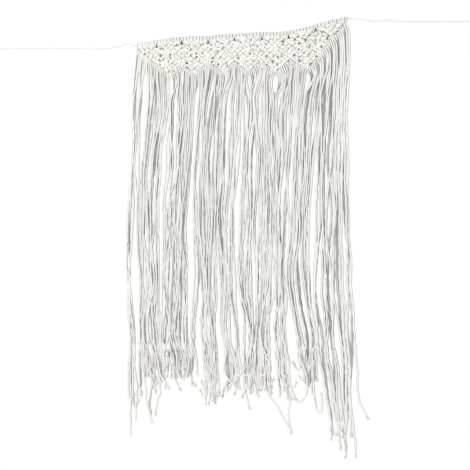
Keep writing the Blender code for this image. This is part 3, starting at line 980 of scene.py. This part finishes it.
def twisted_rope(name, keys, material):
    """A three-ply rope through the keys, in millimetres, its plies really twisted."""
    sizes = bpy.context.scene.hanging_sizes
    radius, lay = sizes.rope / 2 / MM, sizes.rope_lay / MM
    places, points = sampled(keys, ROPE_RING_STEP)
    last = len(points) - 1
    verts, faces, uvs = [], [], []
    for i, (point, (side, up)) in enumerate(zip(points, rope_frames(points))):
        turn = 2 * math.pi * places[i] / lay
        narrowing = NARROW_ENDS[min(i, last - i, len(NARROW_ENDS) - 1)]
        for k in range(ROPE_SIDES):
            angle = 2 * math.pi * k / ROPE_SIDES
            lobe = 1 - PLY_DEPTH + PLY_DEPTH * abs(math.cos(ROPE_PLIES / 2 * angle))
            reach = radius * lobe * narrowing
            offset = side * math.cos(angle + turn) + up * math.sin(angle + turn)
            verts.append((point + offset * reach) * MM)
    for i in range(last):
        near, far = i * ROPE_SIDES, (i + 1) * ROPE_SIDES
        low, high = places[i] * MM, places[i + 1] * MM
        for k in range(ROPE_SIDES):
            after = (k + 1) % ROPE_SIDES
            faces.append((near + k, near + after, far + after, far + k))
            left, right = k / ROPE_SIDES, (k + 1) / ROPE_SIDES
            uvs += [(low, left), (low, right), (high, right), (high, left)]
    faces.append(tuple(reversed(range(ROPE_SIDES))))
    faces.append(tuple(range(last * ROPE_SIDES, (last + 1) * ROPE_SIDES)))
    uvs += [(0, 0)] * (2 * ROPE_SIDES)
    mesh = bpy.data.meshes.new(name)
    mesh.from_pydata(verts, [], faces)
    layer = mesh.uv_layers.new(name="UVMap")
    layer.data.foreach_set("uv", [part for uv in uvs for part in uv])
    mesh.polygons.foreach_set("use_smooth", [True] * len(mesh.polygons))
    mesh.materials.append(material)
    return Rope(points, link(name, mesh))


def rope_keys(start, end):
    """The rope's route from one x to another, in small steps."""
    count = round(abs(end - start) / KEY_STEP)
    xs = [start + (end - start) * i / count for i in range(count + 1)]
    return [(x, 0.0, rope_z(x)) for x in xs]


def path_length(points):
    return sum((b - a).length for a, b in zip(points, points[1:])) * MM


# Knots, in millimetres: the lark's heads in their places, the others around the origin

# Half a head: its leg, the turn over the rope's front and top, and the fold behind
HALF_HEAD = (
    (-2.1, -0.4, -16.0), (-2.1, -0.8, -10.5), (-2.2, -3.2, -5.8), (-2.5, -4.9, -1.6),
    (-2.5, -4.2, 2.0), (-2.4, -0.6, 4.6), (-2.4, 3.6, 2.8), (-2.2, 5.0, -1.6),
    (-1.4, 5.0, -4.6), (0.0, 5.0, -5.4),
)
HEAD_PITCH = 8.1
LEG_DEPTH = 8
OPENING_HEIGHTS = (-14, -8)
OPENING_WIDENING = 1.35
HEAD_SIZES = (0.92, 1.02)
HEAD_STEP = 3.0
HEAD_SLOPE = 0.05
HEAD_LIFT = 0.3

# A square knot's two turns, by height and slant, and the loop at its left side
KNOT_TURNS = ((2.0, 0.13), (-2.0, -0.13))
KNOT_STEPS = 10
KNOT_REACH = (6.0, 3.3)
LOOP_SIZE = 0.85
SIDE_LOOP = (
    (-4.4, -2.6, 4.0), (-6.2, -3.6, 2.4), (-6.7, -3.8, 0.0), (-6.2, -3.6, -2.4),
    (-4.4, -2.6, -4.0),
)
HITCH_TURNS = 2
HITCH_STEPS = 6
HITCH_ADVANCE = 1.9
HITCH_REACH = (3.4, 3.0)
HITCH_RADIUS = 1.38
HITCH_UNEVENNESS = 0.14
HOLDING_RADIUS = 1.9

# A frayed tip: how far its plies start and end apart, their lengths, turn and thickness
TIP_PLIES = 5
TIP_CORE = 0.9
TIP_SPREADS = (1.6, 0.8)
TIP_LENGTHS = (13.0, 2.5)
TIP_TOP = 3
TIP_TWIST = 0.9
TIP_PLY = (0.62, 0.06)
TIP_PLY_TOP = 0.4
TIP_PLY_END = 1.2
TIP_SIZES = (0.75, 1.15)
TIP_STRETCHES = (0.7, 1.3)


def larks_head(across, radius, rng):
    """A cord folded over the rope with its fold behind, so that two turns show in front.

    Beside the gap between two repeats its legs lean away, which leaves an opening.
    """
    mirrored = tuple((-x, y, z) for x, y, z in reversed(HALF_HEAD[:-1]))
    gap = round(across)
    from_gap = (across - gap) * HEADS_PER_REPEAT
    lean = math.copysign(max(0.0, 1.0 - (abs(from_gap) - 0.5) / 2), from_gap)
    lean *= OPENING_LEANS[gap - 1] if 0 < gap < REPEATS else 0
    middle = band_x(across)
    half = 0.5 / HEADS_PER_REPEAT
    width = (band_x(across + half) - band_x(across - half)) / HEAD_PITCH
    slope = rng.uniform(-HEAD_SLOPE, HEAD_SLOPE)
    lift = rng.uniform(-HEAD_LIFT, HEAD_LIFT)
    low, high = OPENING_HEIGHTS
    path = []
    for x, y, z in HALF_HEAD + mirrored:
        share = min(1.0, max(0.0, -z / LEG_DEPTH)) if y < 0 else 0.0
        x = middle + (x + slope * z) * width
        x += lean * share * (OPENING_WIDENING if low < z < high else 1.0)
        path.append((x, y, rope_z(x) + z + lift))
    return tied_cord(path, radius)


def square_knot(radius):
    """Two turns around the fillers, slanting opposite ways, and the loops that join them."""
    paths = []
    for centre, slant in KNOT_TURNS:
        path = []
        for i in range(KNOT_STEPS + 1):
            angle = 2 * math.pi * (i - 0.5) / KNOT_STEPS
            x, y = KNOT_REACH[0] * math.sin(angle), KNOT_REACH[1] * math.cos(angle)
            path.append((x, y, centre + slant * x * (1 if y < 0 else -1)))
        paths.append(tied_cord(path, radius))
    for side in (-1, 1):
        loop = [(x * side, y * side, z) for x, y, z in SIDE_LOOP]
        paths.append(tied_cord(loop, radius * LOOP_SIZE))
    return tubes("square_knot", paths, 3.8, 6, None)


def double_half_hitch(radius):
    """Two turns, drawn close together, around a bar that runs along X."""
    path = []
    for i in range(HITCH_TURNS * HITCH_STEPS + 1):
        angle = 2 * math.pi * i / HITCH_STEPS
        x = HITCH_ADVANCE * (i / HITCH_STEPS - HITCH_TURNS / 2)
        path.append((x, HITCH_REACH[0] * math.cos(angle), HITCH_REACH[1] * math.sin(angle)))
    return tubes("half_hitch", [tied_cord(path, radius)], 3.9, 4, None)


def frayed_tip(radius):
    """The end of a cord, hanging down from the origin, its plies coming apart."""
    paths = []
    for k in range(TIP_PLIES):
        angle = 2 * math.pi * k / TIP_PLIES
        reach = TIP_SPREADS[0] + TIP_SPREADS[1] * (k % 2)
        length = TIP_LENGTHS[0] + TIP_LENGTHS[1] * (2 * k % 3)
        path = []
        for share in (0, 0.25, 0.5, 0.75, 1):
            out = TIP_CORE + reach * share
            turn = angle + TIP_TWIST * share
            point = (out * math.cos(turn), out * math.sin(turn), TIP_TOP - length * share)
            path.append((point, radius * (TIP_PLY[0] - TIP_PLY[1] * share)))
        path[0] = (path[0][0], radius * TIP_PLY_TOP)
        path.append((Vector(path[-1][0]) + Vector((0, 0, -TIP_PLY_END)), CLOSED_END))
        paths.append(path)
    return tubes("frayed_tip", paths, 3.6, 5, None)


# Where the knots go. The strays say how far a knot or cord may lie from its even place.

TOP_KNOT_Y = -1.3
KNOT_STRAY = (2.0, 0.8, 2.0)
KNOT_TURN_STRAY = 0.9
KNOT_SIZES = (0.76, 0.96)
KNOT_THICKNESS = 0.95
KNOT_TILT = 0.7
FILLER_STRAY = 0.4
FILLER_SIDES = (-0.8, 0.8)
FILLER_PAIR = (-0.04, 0.04)
FILLER_Y = -0.8
CARRIED_Y = 2.2
CORD_STEP = 6.0

# The thickness of each kind of cord in the band, next to the cord's own
KNOT_SIZE = 0.95
FILLER_SIZE = 0.72
CARRIED_SIZE = 1.05
OPENING_SIZE = 0.9

FILLER_STEPS = 5
OPENING_DROPS = (1, 6, 11, 16, 20)
OPENING_CORD_Y = 2.6
BAR_TOP = 0.2
ROW_DEPTHS = (-0.5, 0.5)


def cells():
    """The diamonds, each by its left-hand bar and its right-hand bar."""
    top = [(k, k) for k in range(REPEATS)]
    middle = [(k - 1, k) for k in range(1, REPEATS)]
    low = [(k - 1, k + 1) for k in range(1, REPEATS - 1)]
    return top + middle + low


def slope_at(x):
    return math.atan2(rope_z(x + 6) - rope_z(x - 6), 12)


def knot_places(rng):
    """Where the square knots sit: nine to a diamond, ten to one cut off by the rope."""
    spots = []
    for left, right in cells():
        if left == right:
            spots += [(left + across, level, TOP_KNOT_Y) for across, level in TOP_KNOTS]
            continue
        for u in FALLING_PLACES:
            for v in RISING_PLACES:
                spots.append(((left + u + right + v) / 2, right + v - left - u, 0))
    places = []
    for across, level, y in spots:
        point = Vector((band_x(across, level), y, band_z(across, level)))
        point += Vector([rng.uniform(-reach, reach) for reach in KNOT_STRAY])
        width = (band_x(across + 0.25) - band_x(across - 0.25)) * 2 / MEAN_REPEAT
        height = smooth(range(REPEATS + 1), REPEAT_STRETCH, across)
        stray = rng.uniform(-KNOT_TURN_STRAY, KNOT_TURN_STRAY)
        turn = (0, -KNOT_TILT * slope_at(point.x) + stray, 0)
        even = rng.uniform(*KNOT_SIZES)
        places.append(Place(point, turn, (width * even, KNOT_THICKNESS, height * even)))
    return places


def filler_paths(radius, rng, places, offsets, depth):
    """Cords that run through the cells from one bar to the next, both ways across."""
    paths = []
    for left, right in cells():
        for slant, across_cell in ((1, places[0]), (-1, places[1])):
            for place in across_cell:
                for offset in offsets:
                    over = rng.choice(FILLER_SIDES)
                    path = []
                    for i in range(FILLER_STEPS + 1):
                        share = i / FILLER_STEPS
                        if slant > 0:
                            a = left + place + offset
                            b = right + (a - left if left == right else 0)
                            b += share * (right + 1 - b)
                        else:
                            b = right + place + offset
                            a = left + (b - right if left == right else 1)
                            a -= share * (a - left)
                        y = depth + over + rng.uniform(-FILLER_STRAY, FILLER_STRAY)
                        path.append(band_point(a, b, y))
                    paths.append(tied_cord(path, radius))
    return paths


def opening_paths(radius):
    """The cords that pass behind the opening between two repeats, under the rope: dark cords set
    there as painted shade.
    """
    paths = []
    for edge in range(1, REPEATS):
        for aside in OPENING_CORDS:
            x = band_x(edge) + aside - 1.0
            path = [(x, OPENING_CORD_Y, rope_z(x) - drop) for drop in OPENING_DROPS]
            paths.append(tied_cord(path, radius))
    return paths


def bar_paths():
    """The holding cords of the bars, two rows to a bar: down to the right, then the left."""
    paths = []
    for k in range(REPEATS):
        end = min(k + 3, REPEATS) + BAR_HALF * 0.4
        count = 4 * (round(end) - k) + 1
        for row in BAR_ROWS:
            first = k + BAR_TOP + 2 * row
            bs = [first + (end - first) * i / (count - 1) for i in range(count)]
            kept = [b for b in bs if b <= REPEATS + BAR_HALF]
            paths.append([band_point(k + row, b, ROW_DEPTHS[0]) for b in kept])
    for k in range(1, REPEATS + 1):
        end = max(k - 3, 0) - BAR_HALF * 0.4
        count = 4 * (k - round(end)) + 1
        for row in BAR_ROWS:
            first = k - BAR_TOP - 2 * row
            steps = [first - (first - end) * i / (count - 1) for i in range(count)]
            paths.append([band_point(a, k - row, ROW_DEPTHS[1]) for a in steps])
    return paths


# The fringe

# How a strand's tip curls up, and how it fans out: sideways, forwards and up from its end.
# Below it, in millimetres along a strand: where it starts to sway, where it sways in full
# after that, and where its crimp is full.
CURLED_TIP = ((0, 1, 14), (3, 2, 4), (8, 3, 2), (11, 3, 8))
FANNED_TIP = ((3.0, 1.5, 12), (5.5, 2.5, 0))
GRIPPED = 18
GRIP_FADES = 90
SLACK_REACHED = 650
CROSSING_FRONT = 3.6
END_UNEVENNESS = (2, 18)
STRAND_STEP = 6.0
RING_STEP = 6.5
LOCK_MARGIN = 2
EXPOSED_SIDE = 0.65
EXPOSED_LESS = 0.45

# A strand's first points: the share of its bulge, y, and the height over its bar's edge.
# At the last of them it turns towards its own depth.
ROOT = ((0.0, -1.6, 7.5), (0.0, -3.6, 3.5), (0.15, -3.4, -0.5))
ROOT_TURN = (0.65, 0.6, -7)
BULGE_SIZES = (0.75, 1.15)

# How much of each wave goes into a strand's sway, sideways and inwards
OWN_ASIDE = 0.9
CRIMP_ASIDE = 0.6
CRIMP_INWARD = 0.35
CRIMP_LAG = 9
INWARD = 0.5
OWN_WIDTHS = (1000, 2000)
OWN_WAVES = ((90, 210), (110, 240), (24, 44))


def spread(wanted):
    """Places in order, as near to the wanted ones as a strand's width between them lets."""
    up, down = list(wanted), list(wanted)
    for i in range(1, len(wanted)):
        up[i] = max(up[i], up[i - 1] + STRAND_SPACING)
    for i in range(len(wanted) - 2, -1, -1):
        down[i] = min(down[i], down[i + 1] - STRAND_SPACING)
    return [(a + b) / 2 for a, b in zip(up, down)]


def lane_of(i):
    return LANE_PATTERN[i % len(LANE_PATTERN)]


def strand_rows(rng):
    """The strands' x at each height of the locks, and at their ends."""
    rows = []
    for h in range(len(LOCK_HEIGHTS) + 1):
        row = []
        for lock in LOCKS:
            at_end = h == len(LOCK_HEIGHTS)
            left = lock.end_left if at_end else lock.left[h]
            right = lock.end_right if at_end else lock.right[h]
            lanes = [lane_of(len(row) + k) for k in range(lock.strands)]
            for k, lane in enumerate(lanes):
                share = (lanes[:k].count(lane) + 0.5) / lanes.count(lane)
                uneven = LANE_UNEVENNESS[lane]
                row.append(left + (right - left) * share + rng.uniform(-uneven, uneven))
        for lane in range(len(LANE_DEPTHS)):
            members = [i for i in range(STRANDS) if lane_of(i) == lane]
            for i, x in zip(members, spread([row[i] for i in members])):
                row[i] = x
        rows.append(row)
    return rows


def inside_lock(lock, h, x):
    """The place nearest to x that keeps a strand within its lock."""
    return min(max(x, lock.left[h] + LOCK_MARGIN), lock.right[h] - LOCK_MARGIN)


def exposures():
    """How far each strand is out at the side of its lock."""
    shares = []
    for lock in LOCKS:
        for k in range(lock.strands):
            from_side = min(k, lock.strands - 1 - k)
            shares.append(max(0.0, EXPOSED_SIDE - EXPOSED_LESS * from_side))
    return shares


class Sway:
    """A slow wave along the strands that also changes slowly from strand to strand."""

    def __init__(self, rng, drops, widths):
        self.waves = [
            (rng.uniform(*drops), rng.choice((-1, 1)) * rng.uniform(*widths), rng.uniform(0, 6.3))
            for _ in range(3)
        ]

    def at(self, drop, x=0.0):
        return sum(
            math.sin(2 * math.pi * (drop / length + x / width) + phase)
            for length, width, phase in self.waves
        ) / len(self.waves)


def root_keys(i, y, rng):
    """A strand's way out over the lowest bar and down, fanning out from its point."""
    across = (i + 0.5) / STRANDS_PER_REPEAT
    falls = low_level(across + 0.01) > low_level(across)
    left, right = TIP_BULGES[min(max(math.floor(across) - 1, 0), len(TIP_BULGES) - 1)]
    bulge = (left if falls else right) * rng.uniform(*BULGE_SIZES)
    level = low_level(across) - BAR_HALF
    x, top = band_x(across, level), band_z(across, level)
    drop = FAN_DROPS[0] + FAN_DROPS[1] * abs(bulge)
    keys = [(x + bulge * share, near, top + up) for share, near, up in ROOT]
    share, inward, up = ROOT_TURN
    return keys + [(x + bulge * share, y * inward, top + up), (x + bulge, y, top - drop)]


def tip_keys(x, y, z, flare, rng):
    """The last points of a strand, which curls up at its end or fans out a little."""
    if rng.random() < CURLED_SHARE:
        side = math.copysign(1, flare)
        return [(x + a * side, y - b, z + c) for a, b, c in CURLED_TIP]
    return [(x + a * flare, y - b * abs(flare), z + c) for a, b, c in FANNED_TIP]


def fringe_paths(seed, wander):
    """Each strand's path as points in millimetres, from over its bar to its tip."""
    rng = random.Random(seed)
    rows = strand_rows(rng)
    strays = {stray.strand: stray for stray in STRAYS}
    locks = [lock for lock in LOCKS for _ in range(lock.strands)]
    shared_x = Sway(rng, (110, 260), (60, 200))
    shared_y = Sway(rng, (130, 280), (40, 160))
    paths = []
    for i, lock in enumerate(locks):
        at_right_end = (i + 0.5) / STRANDS_PER_REPEAT > REPEATS - 1.5
        y = LANE_DEPTHS[lane_of(i)] * (RIGHT_END_DEPTH if at_right_end else 1)
        keys = root_keys(i, y, rng)
        for h, height in enumerate(LOCK_HEIGHTS):
            key = (rows[h][i], y, height)
            if rng.random() < CROSSING_SHARES[h]:
                aside = rng.choice((-1, 1)) * rng.uniform(*CROSSING_REACH)
                key = (inside_lock(lock, h, key[0] + aside), y - CROSSING_FRONT, height)
            keys.append(key)
        flare = rng.uniform(-1, 1)
        if i in strays:
            stray = strays[i]
            tail_y = y if stray.front is None else -stray.front
            keys += [(px, tail_y, pz) for px, pz in stray.route]
        else:
            end = lock.end_z + END_STEPS[i % len(END_STEPS)] + rng.uniform(*END_UNEVENNESS)
            end_x = rows[-1][i]
            keys.append(((rows[4][i] + end_x) / 2, y, (LOCK_HEIGHTS[-1] + end) / 2))
            keys += tip_keys(end_x, y, end, flare, rng)
        slow, deep, crimp = (Sway(rng, drops, OWN_WIDTHS) for drops in OWN_WAVES)
        places, points = sampled(keys, STRAND_STEP)
        for s, point in zip(places, points):
            grip = min(1.0, max(0.0, s - GRIPPED) / GRIP_FADES)
            slack = 0.5 + 0.5 * min(1.0, s / SLACK_REACHED)
            drop = -point.z
            aside = shared_x.at(drop, point.x) + OWN_ASIDE * slow.at(s)
            aside += CRIMP_ASIDE * slack * crimp.at(s)
            inward = shared_y.at(drop, point.x) + CRIMP_INWARD * crimp.at(s + CRIMP_LAG)
            point.x += wander * grip * aside
            point.y += INWARD * wander * grip * inward + DEPTH_WANDER * grip * deep.at(s)
        paths.append(points)
    return paths


def tip_places(paths, rng):
    """A frayed tip at the end of every strand, in line with it."""
    places = []
    for path in paths:
        along = (path[-1] - path[-2]).normalized()
        turn = Vector((0, 0, -1)).rotation_difference(along).to_matrix()
        spin = Matrix.Rotation(rng.uniform(0, 2 * math.pi), 3, "Z")
        angles = (turn @ spin).to_euler("XYZ")
        size = rng.uniform(*TIP_SIZES)
        stretch = rng.uniform(*TIP_STRETCHES)
        places.append(Place(path[-1], angles, (size, size, size * stretch)))
    return places


# One operator to each piece


class HANGING_OT_stage(bpy.types.Operator):
    """The camera, the floor and the light"""

    bl_idname = "hanging.stage"
    bl_label = "Camera, floor and light"

    def execute(self, context):
        scene = context.scene
        camera = bpy.data.cameras.new("camera")
        camera.lens = VIEW_LENS
        camera.sensor_width = 36
        camera.clip_start = 0.01
        angle = math.radians(VIEW_AZIMUTH)
        back = Vector((math.sin(angle), -math.cos(angle), 0))
        scene.camera = link("camera", camera)
        scene.camera.location = Vector((0, 0, VIEW_HEIGHT)) + back * VIEW_DISTANCE
        scene.camera.rotation_euler = (-back).to_track_quat("-Z", "Y").to_euler()
        scene.view_settings.view_transform = "Standard"

        rim = [2 * math.pi * k / FLOOR_STEPS for k in range(FLOOR_STEPS)]
        mesh = bpy.data.meshes.new("floor")
        points = [
            (FLOOR_RADIUS * math.cos(a), FLOOR_RADIUS * math.sin(a), FLOOR_HEIGHT) for a in rim
        ]
        mesh.from_pydata(points, [], [tuple(range(FLOOR_STEPS))])
        mesh.materials.append(floor_paint(scene.hanging_colours.floor))
        link("floor", mesh)

        scene.world = bpy.data.worlds.new("studio")
        scene.world.use_nodes = True
        sky = scene.world.node_tree.nodes["Background"]
        sky.inputs["Color"].default_value = (1.0, 1.0, 1.0, 1.0)
        sky.inputs["Strength"].default_value = 1.0
        for light in LIGHTS:
            lamp = bpy.data.lights.new(light.name, "AREA")
            lamp.shape = "DISK"
            lamp.size = light.size
            lamp.energy = light.power
            holder = link(light.name, lamp)
            holder.location = light.place
            aim = Vector(LIGHT_AIM) - Vector(light.place)
            holder.rotation_euler = aim.to_track_quat("-Z", "Y").to_euler()
        return {"FINISHED"}


class HANGING_OT_free_ropes(bpy.types.Operator):
    """The two free stretches of the carrying rope and their end loops"""

    bl_idname = "hanging.free_ropes"
    bl_label = "Free ropes and end loops"

    def execute(self, context):
        rope = cotton("rope_cotton")
        for side, start, end in (
            ("left", HEADER_ENDS[0], LEFT_ROPE_END),
            ("right", HEADER_ENDS[1], RIGHT_ROPE_END),
        ):
            made = twisted_rope(side + "_free_rope", rope_keys(start, end), rope)
            finish_piece(made.object, "rope", side + "_rope")
            loop = self.tie_loop(side, end, rope)
            finish_piece(loop, "rope", side + "_loop")
            rope_z(start) * MM
        return {"FINISHED"}

    def tie_loop(self, side, end, rope):
        """The rope's end, bent to an eye and held by three turns round itself."""
        out = -1 if side == "left" else 1
        z = rope_z(end)

        def placed(points):
            return [(end + out * (0.3 + x), y, z + up) for x, y, up in points]

        last = WRAP_TURNS * WRAP_STEPS
        wrap = []
        for i in range(last + 1):
            angle = 2 * math.pi * i / WRAP_STEPS
            reach = WRAP_END_REACH if i in (0, last) else WRAP_REACH
            along = WRAP_START + WRAP_LENGTH * i / last
            wrap.append((along, reach * math.cos(angle), reach * math.sin(angle)))
        first = twisted_rope(side + "_end_loop", placed(EYE), rope).object
        second = twisted_rope(side + "_wrap", placed(wrap), rope).object
        joined = [first, second]
        with bpy.context.temp_override(
            active_object=first, selected_editable_objects=joined, object=first
        ):
            bpy.ops.object.join()
        return first


class HANGING_OT_header_rope(bpy.types.Operator):
    """The rope inside the row of lark's heads"""

    bl_idname = "hanging.header_rope"
    bl_label = "Rope under the heads"

    def execute(self, context):
        made = twisted_rope(
            "header_rope_twist", rope_keys(*HEADER_ENDS), cotton("rope_cotton")
        )
        finish_piece(made.object, "rope", "header_rope")
        return {"FINISHED"}


class HANGING_OT_larks_heads(bpy.types.Operator):
    """The row of lark's heads over the rope"""

    bl_idname = "hanging.larks_heads"
    bl_label = "Lark's heads"

    def execute(self, context):
        rng = random.Random(context.scene.hanging_sizes.seed)
        radius = context.scene.hanging_sizes.cord / 2 / MM
        paths = []
        for i in range(HEADS_PER_REPEAT * REPEATS):
            across = (i + 0.5) / HEADS_PER_REPEAT
            paths.append(larks_head(across, radius * rng.uniform(*HEAD_SIZES), rng))
        # The heads wear the band's cotton painted darker: painted shade.
        heads = tubes("larks_heads", paths, HEAD_STEP, 8, cotton("header_cotton"))
        finish_piece(heads, "band_cord", "knotted_band")
        return {"FINISHED"}


class HANGING_OT_square_knots(bpy.types.Operator):
    """The fields of square knots and the cords between them"""

    bl_idname = "hanging.square_knots"
    bl_label = "Square knots"

    def execute(self, context):
        sizes = context.scene.hanging_sizes
        rng = random.Random(sizes.seed + 1)
        radius = sizes.cord / 2 / MM
        band = cotton("band_cotton")
        knot = square_knot(radius * KNOT_SIZE)
        knots = set_out("square_knots", knot, knot_places(rng), band)
        finish_piece(knots, "band_cord", "knotted_band")
        between = (FALLING_PLACES, RISING_PLACES)
        fillers = filler_paths(radius * FILLER_SIZE, rng, between, FILLER_PAIR, FILLER_Y)
        both_ways = (CARRIED_PLACES, CARRIED_PLACES)
        carried = filler_paths(radius * CARRIED_SIZE, rng, both_ways, (0.0,), CARRIED_Y)
        behind = opening_paths(radius * OPENING_SIZE)
        for name, paths, sides, material in (
            ("filler_cords", fillers, 5, band),
            ("carried_cords", carried, 5, band),
            # The cords behind the openings are coloured as painted shade, so that the openings look
            # dark.
            ("cords_behind_openings", behind, 6, cotton("shaded_cotton")),
        ):
            cords = tubes(name, paths, CORD_STEP, sides, material)
            finish_piece(cords, "band_cord", "knotted_band")
        return {"FINISHED"}


class HANGING_OT_hitch_bars(bpy.types.Operator):
    """The slanting bars of double half hitches"""

    bl_idname = "hanging.hitch_bars"
    bl_label = "Bars of half hitches"

    def execute(self, context):
        sizes = context.scene.hanging_sizes
        # The bars wear the band's cotton painted a little lighter: painted light.
        cotton_of_band = cotton("bar_cotton")
        paths = bar_paths()
        holding = [[(point, HOLDING_RADIUS) for point in path] for path in paths]
        cores = tubes("holding_cords", holding, CORD_STEP, 6, cotton_of_band)
        finish_piece(cores, "band_cord", "knotted_band")
        hitch = double_half_hitch(HITCH_RADIUS)
        values = {
            "Hitch": hitch,
            "Pitch": sizes.hitch,
            "Unevenness": HITCH_UNEVENNESS,
            "Seed": sizes.seed,
            "Material": cotton_of_band,
        }
        tree = group_named("hitches_along_bars", hitch_tree)
        source = chains("hitch_bar_paths", holding)
        bars = grown(tree, source, "hitch_bars", values)
        bpy.data.objects.remove(hitch)
        finish_piece(bars, "band_cord", "knotted_band")
        return {"FINISHED"}


class HANGING_OT_fringe(bpy.types.Operator):
    """The hanging strands, in the runs of locks of the CAD nodes, and their frayed tips"""

    bl_idname = "hanging.fringe"
    bl_label = "Fringe"

    def execute(self, context):
        sizes = context.scene.hanging_sizes
        rng = random.Random(sizes.seed + 2)
        radius = sizes.cord / 2 / MM
        cotton_of_fringe = cotton("fringe_cotton")
        paths = fringe_paths(sizes.seed, sizes.wander / MM)
        exposed = exposures()
        locks = iter(LOCKS)
        first = 0
        for number, (count, swell) in enumerate(zip(NODE_LOCKS, NODE_SWELLS), start=1):
            last = first + sum(next(locks).strands for _ in range(count))
            run = [
                self.strand(path, radius * swell * rng.uniform(*STRAND_SIZES))
                for path in paths[first:last]
            ]
            shares = exposed[first:last]
            name = f"fringe_strands_{number}"
            strands = tubes(name, run, RING_STEP, 8, cotton_of_fringe, shares)
            finish_piece(strands, "fringe_cord", f"fringe_{number}")
            first = last
        places = tip_places(paths, rng)
        tips = set_out("frayed_tips", frayed_tip(radius), places, cotton("loose_cotton"))
        finish_piece(tips, "fringe_cord")
        return {"FINISHED"}

    def strand(self, path, radius):
        """A strand's radius along its path: it swells where the cut end works loose."""
        sized = []
        to_end = path_length(path) / MM
        for before, point in zip([path[0]] + path, path):
            to_end -= (point - before).length
            loose = max(0.0, 1.0 - to_end / LOOSE_END)
            sized.append((point, radius * (1 + LOOSE_SWELL * loose)))
        sized[0] = (path[0], CLOSED_END)
        sized.append((path[-1] + (path[-1] - path[-2]).normalized() * 1.5, CLOSED_END))
        return sized


class HANGING_PT_panel(bpy.types.Panel):
    """Lists the pieces and their sizes and colours"""

    bl_label = "Macrame wall hanging"
    bl_idname = "HANGING_PT_panel"
    bl_space_type = "VIEW_3D"
    bl_region_type = "UI"
    bl_category = "Hanging"

    def draw(self, context):
        for operator in OPERATORS:
            self.layout.operator(operator.bl_idname)
        for group in (context.scene.hanging_sizes, context.scene.hanging_colours):
            for name in group.__annotations__:
                self.layout.prop(group, name)


OPERATORS = (
    HANGING_OT_stage,
    HANGING_OT_free_ropes,
    HANGING_OT_header_rope,
    HANGING_OT_larks_heads,
    HANGING_OT_square_knots,
    HANGING_OT_hitch_bars,
    HANGING_OT_fringe,
)
CLASSES = (HangingSizes, HangingColours, *OPERATORS, HANGING_PT_panel)


def register():
    for item in CLASSES:
        bpy.utils.register_class(item)
    bpy.types.Scene.hanging_sizes = PointerProperty(type=HangingSizes)
    bpy.types.Scene.hanging_colours = PointerProperty(type=HangingColours)


def unregister():
    del bpy.types.Scene.hanging_colours
    del bpy.types.Scene.hanging_sizes
    for item in reversed(CLASSES):
        bpy.utils.unregister_class(item)


def main():
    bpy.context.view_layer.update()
    register()
    bpy.ops.hanging.stage()
    bpy.ops.hanging.free_ropes()
    bpy.ops.hanging.header_rope()
    bpy.ops.hanging.larks_heads()
    bpy.ops.hanging.square_knots()
    bpy.ops.hanging.hitch_bars()
    bpy.ops.hanging.fringe()


if __name__ == "__main__":
    main()
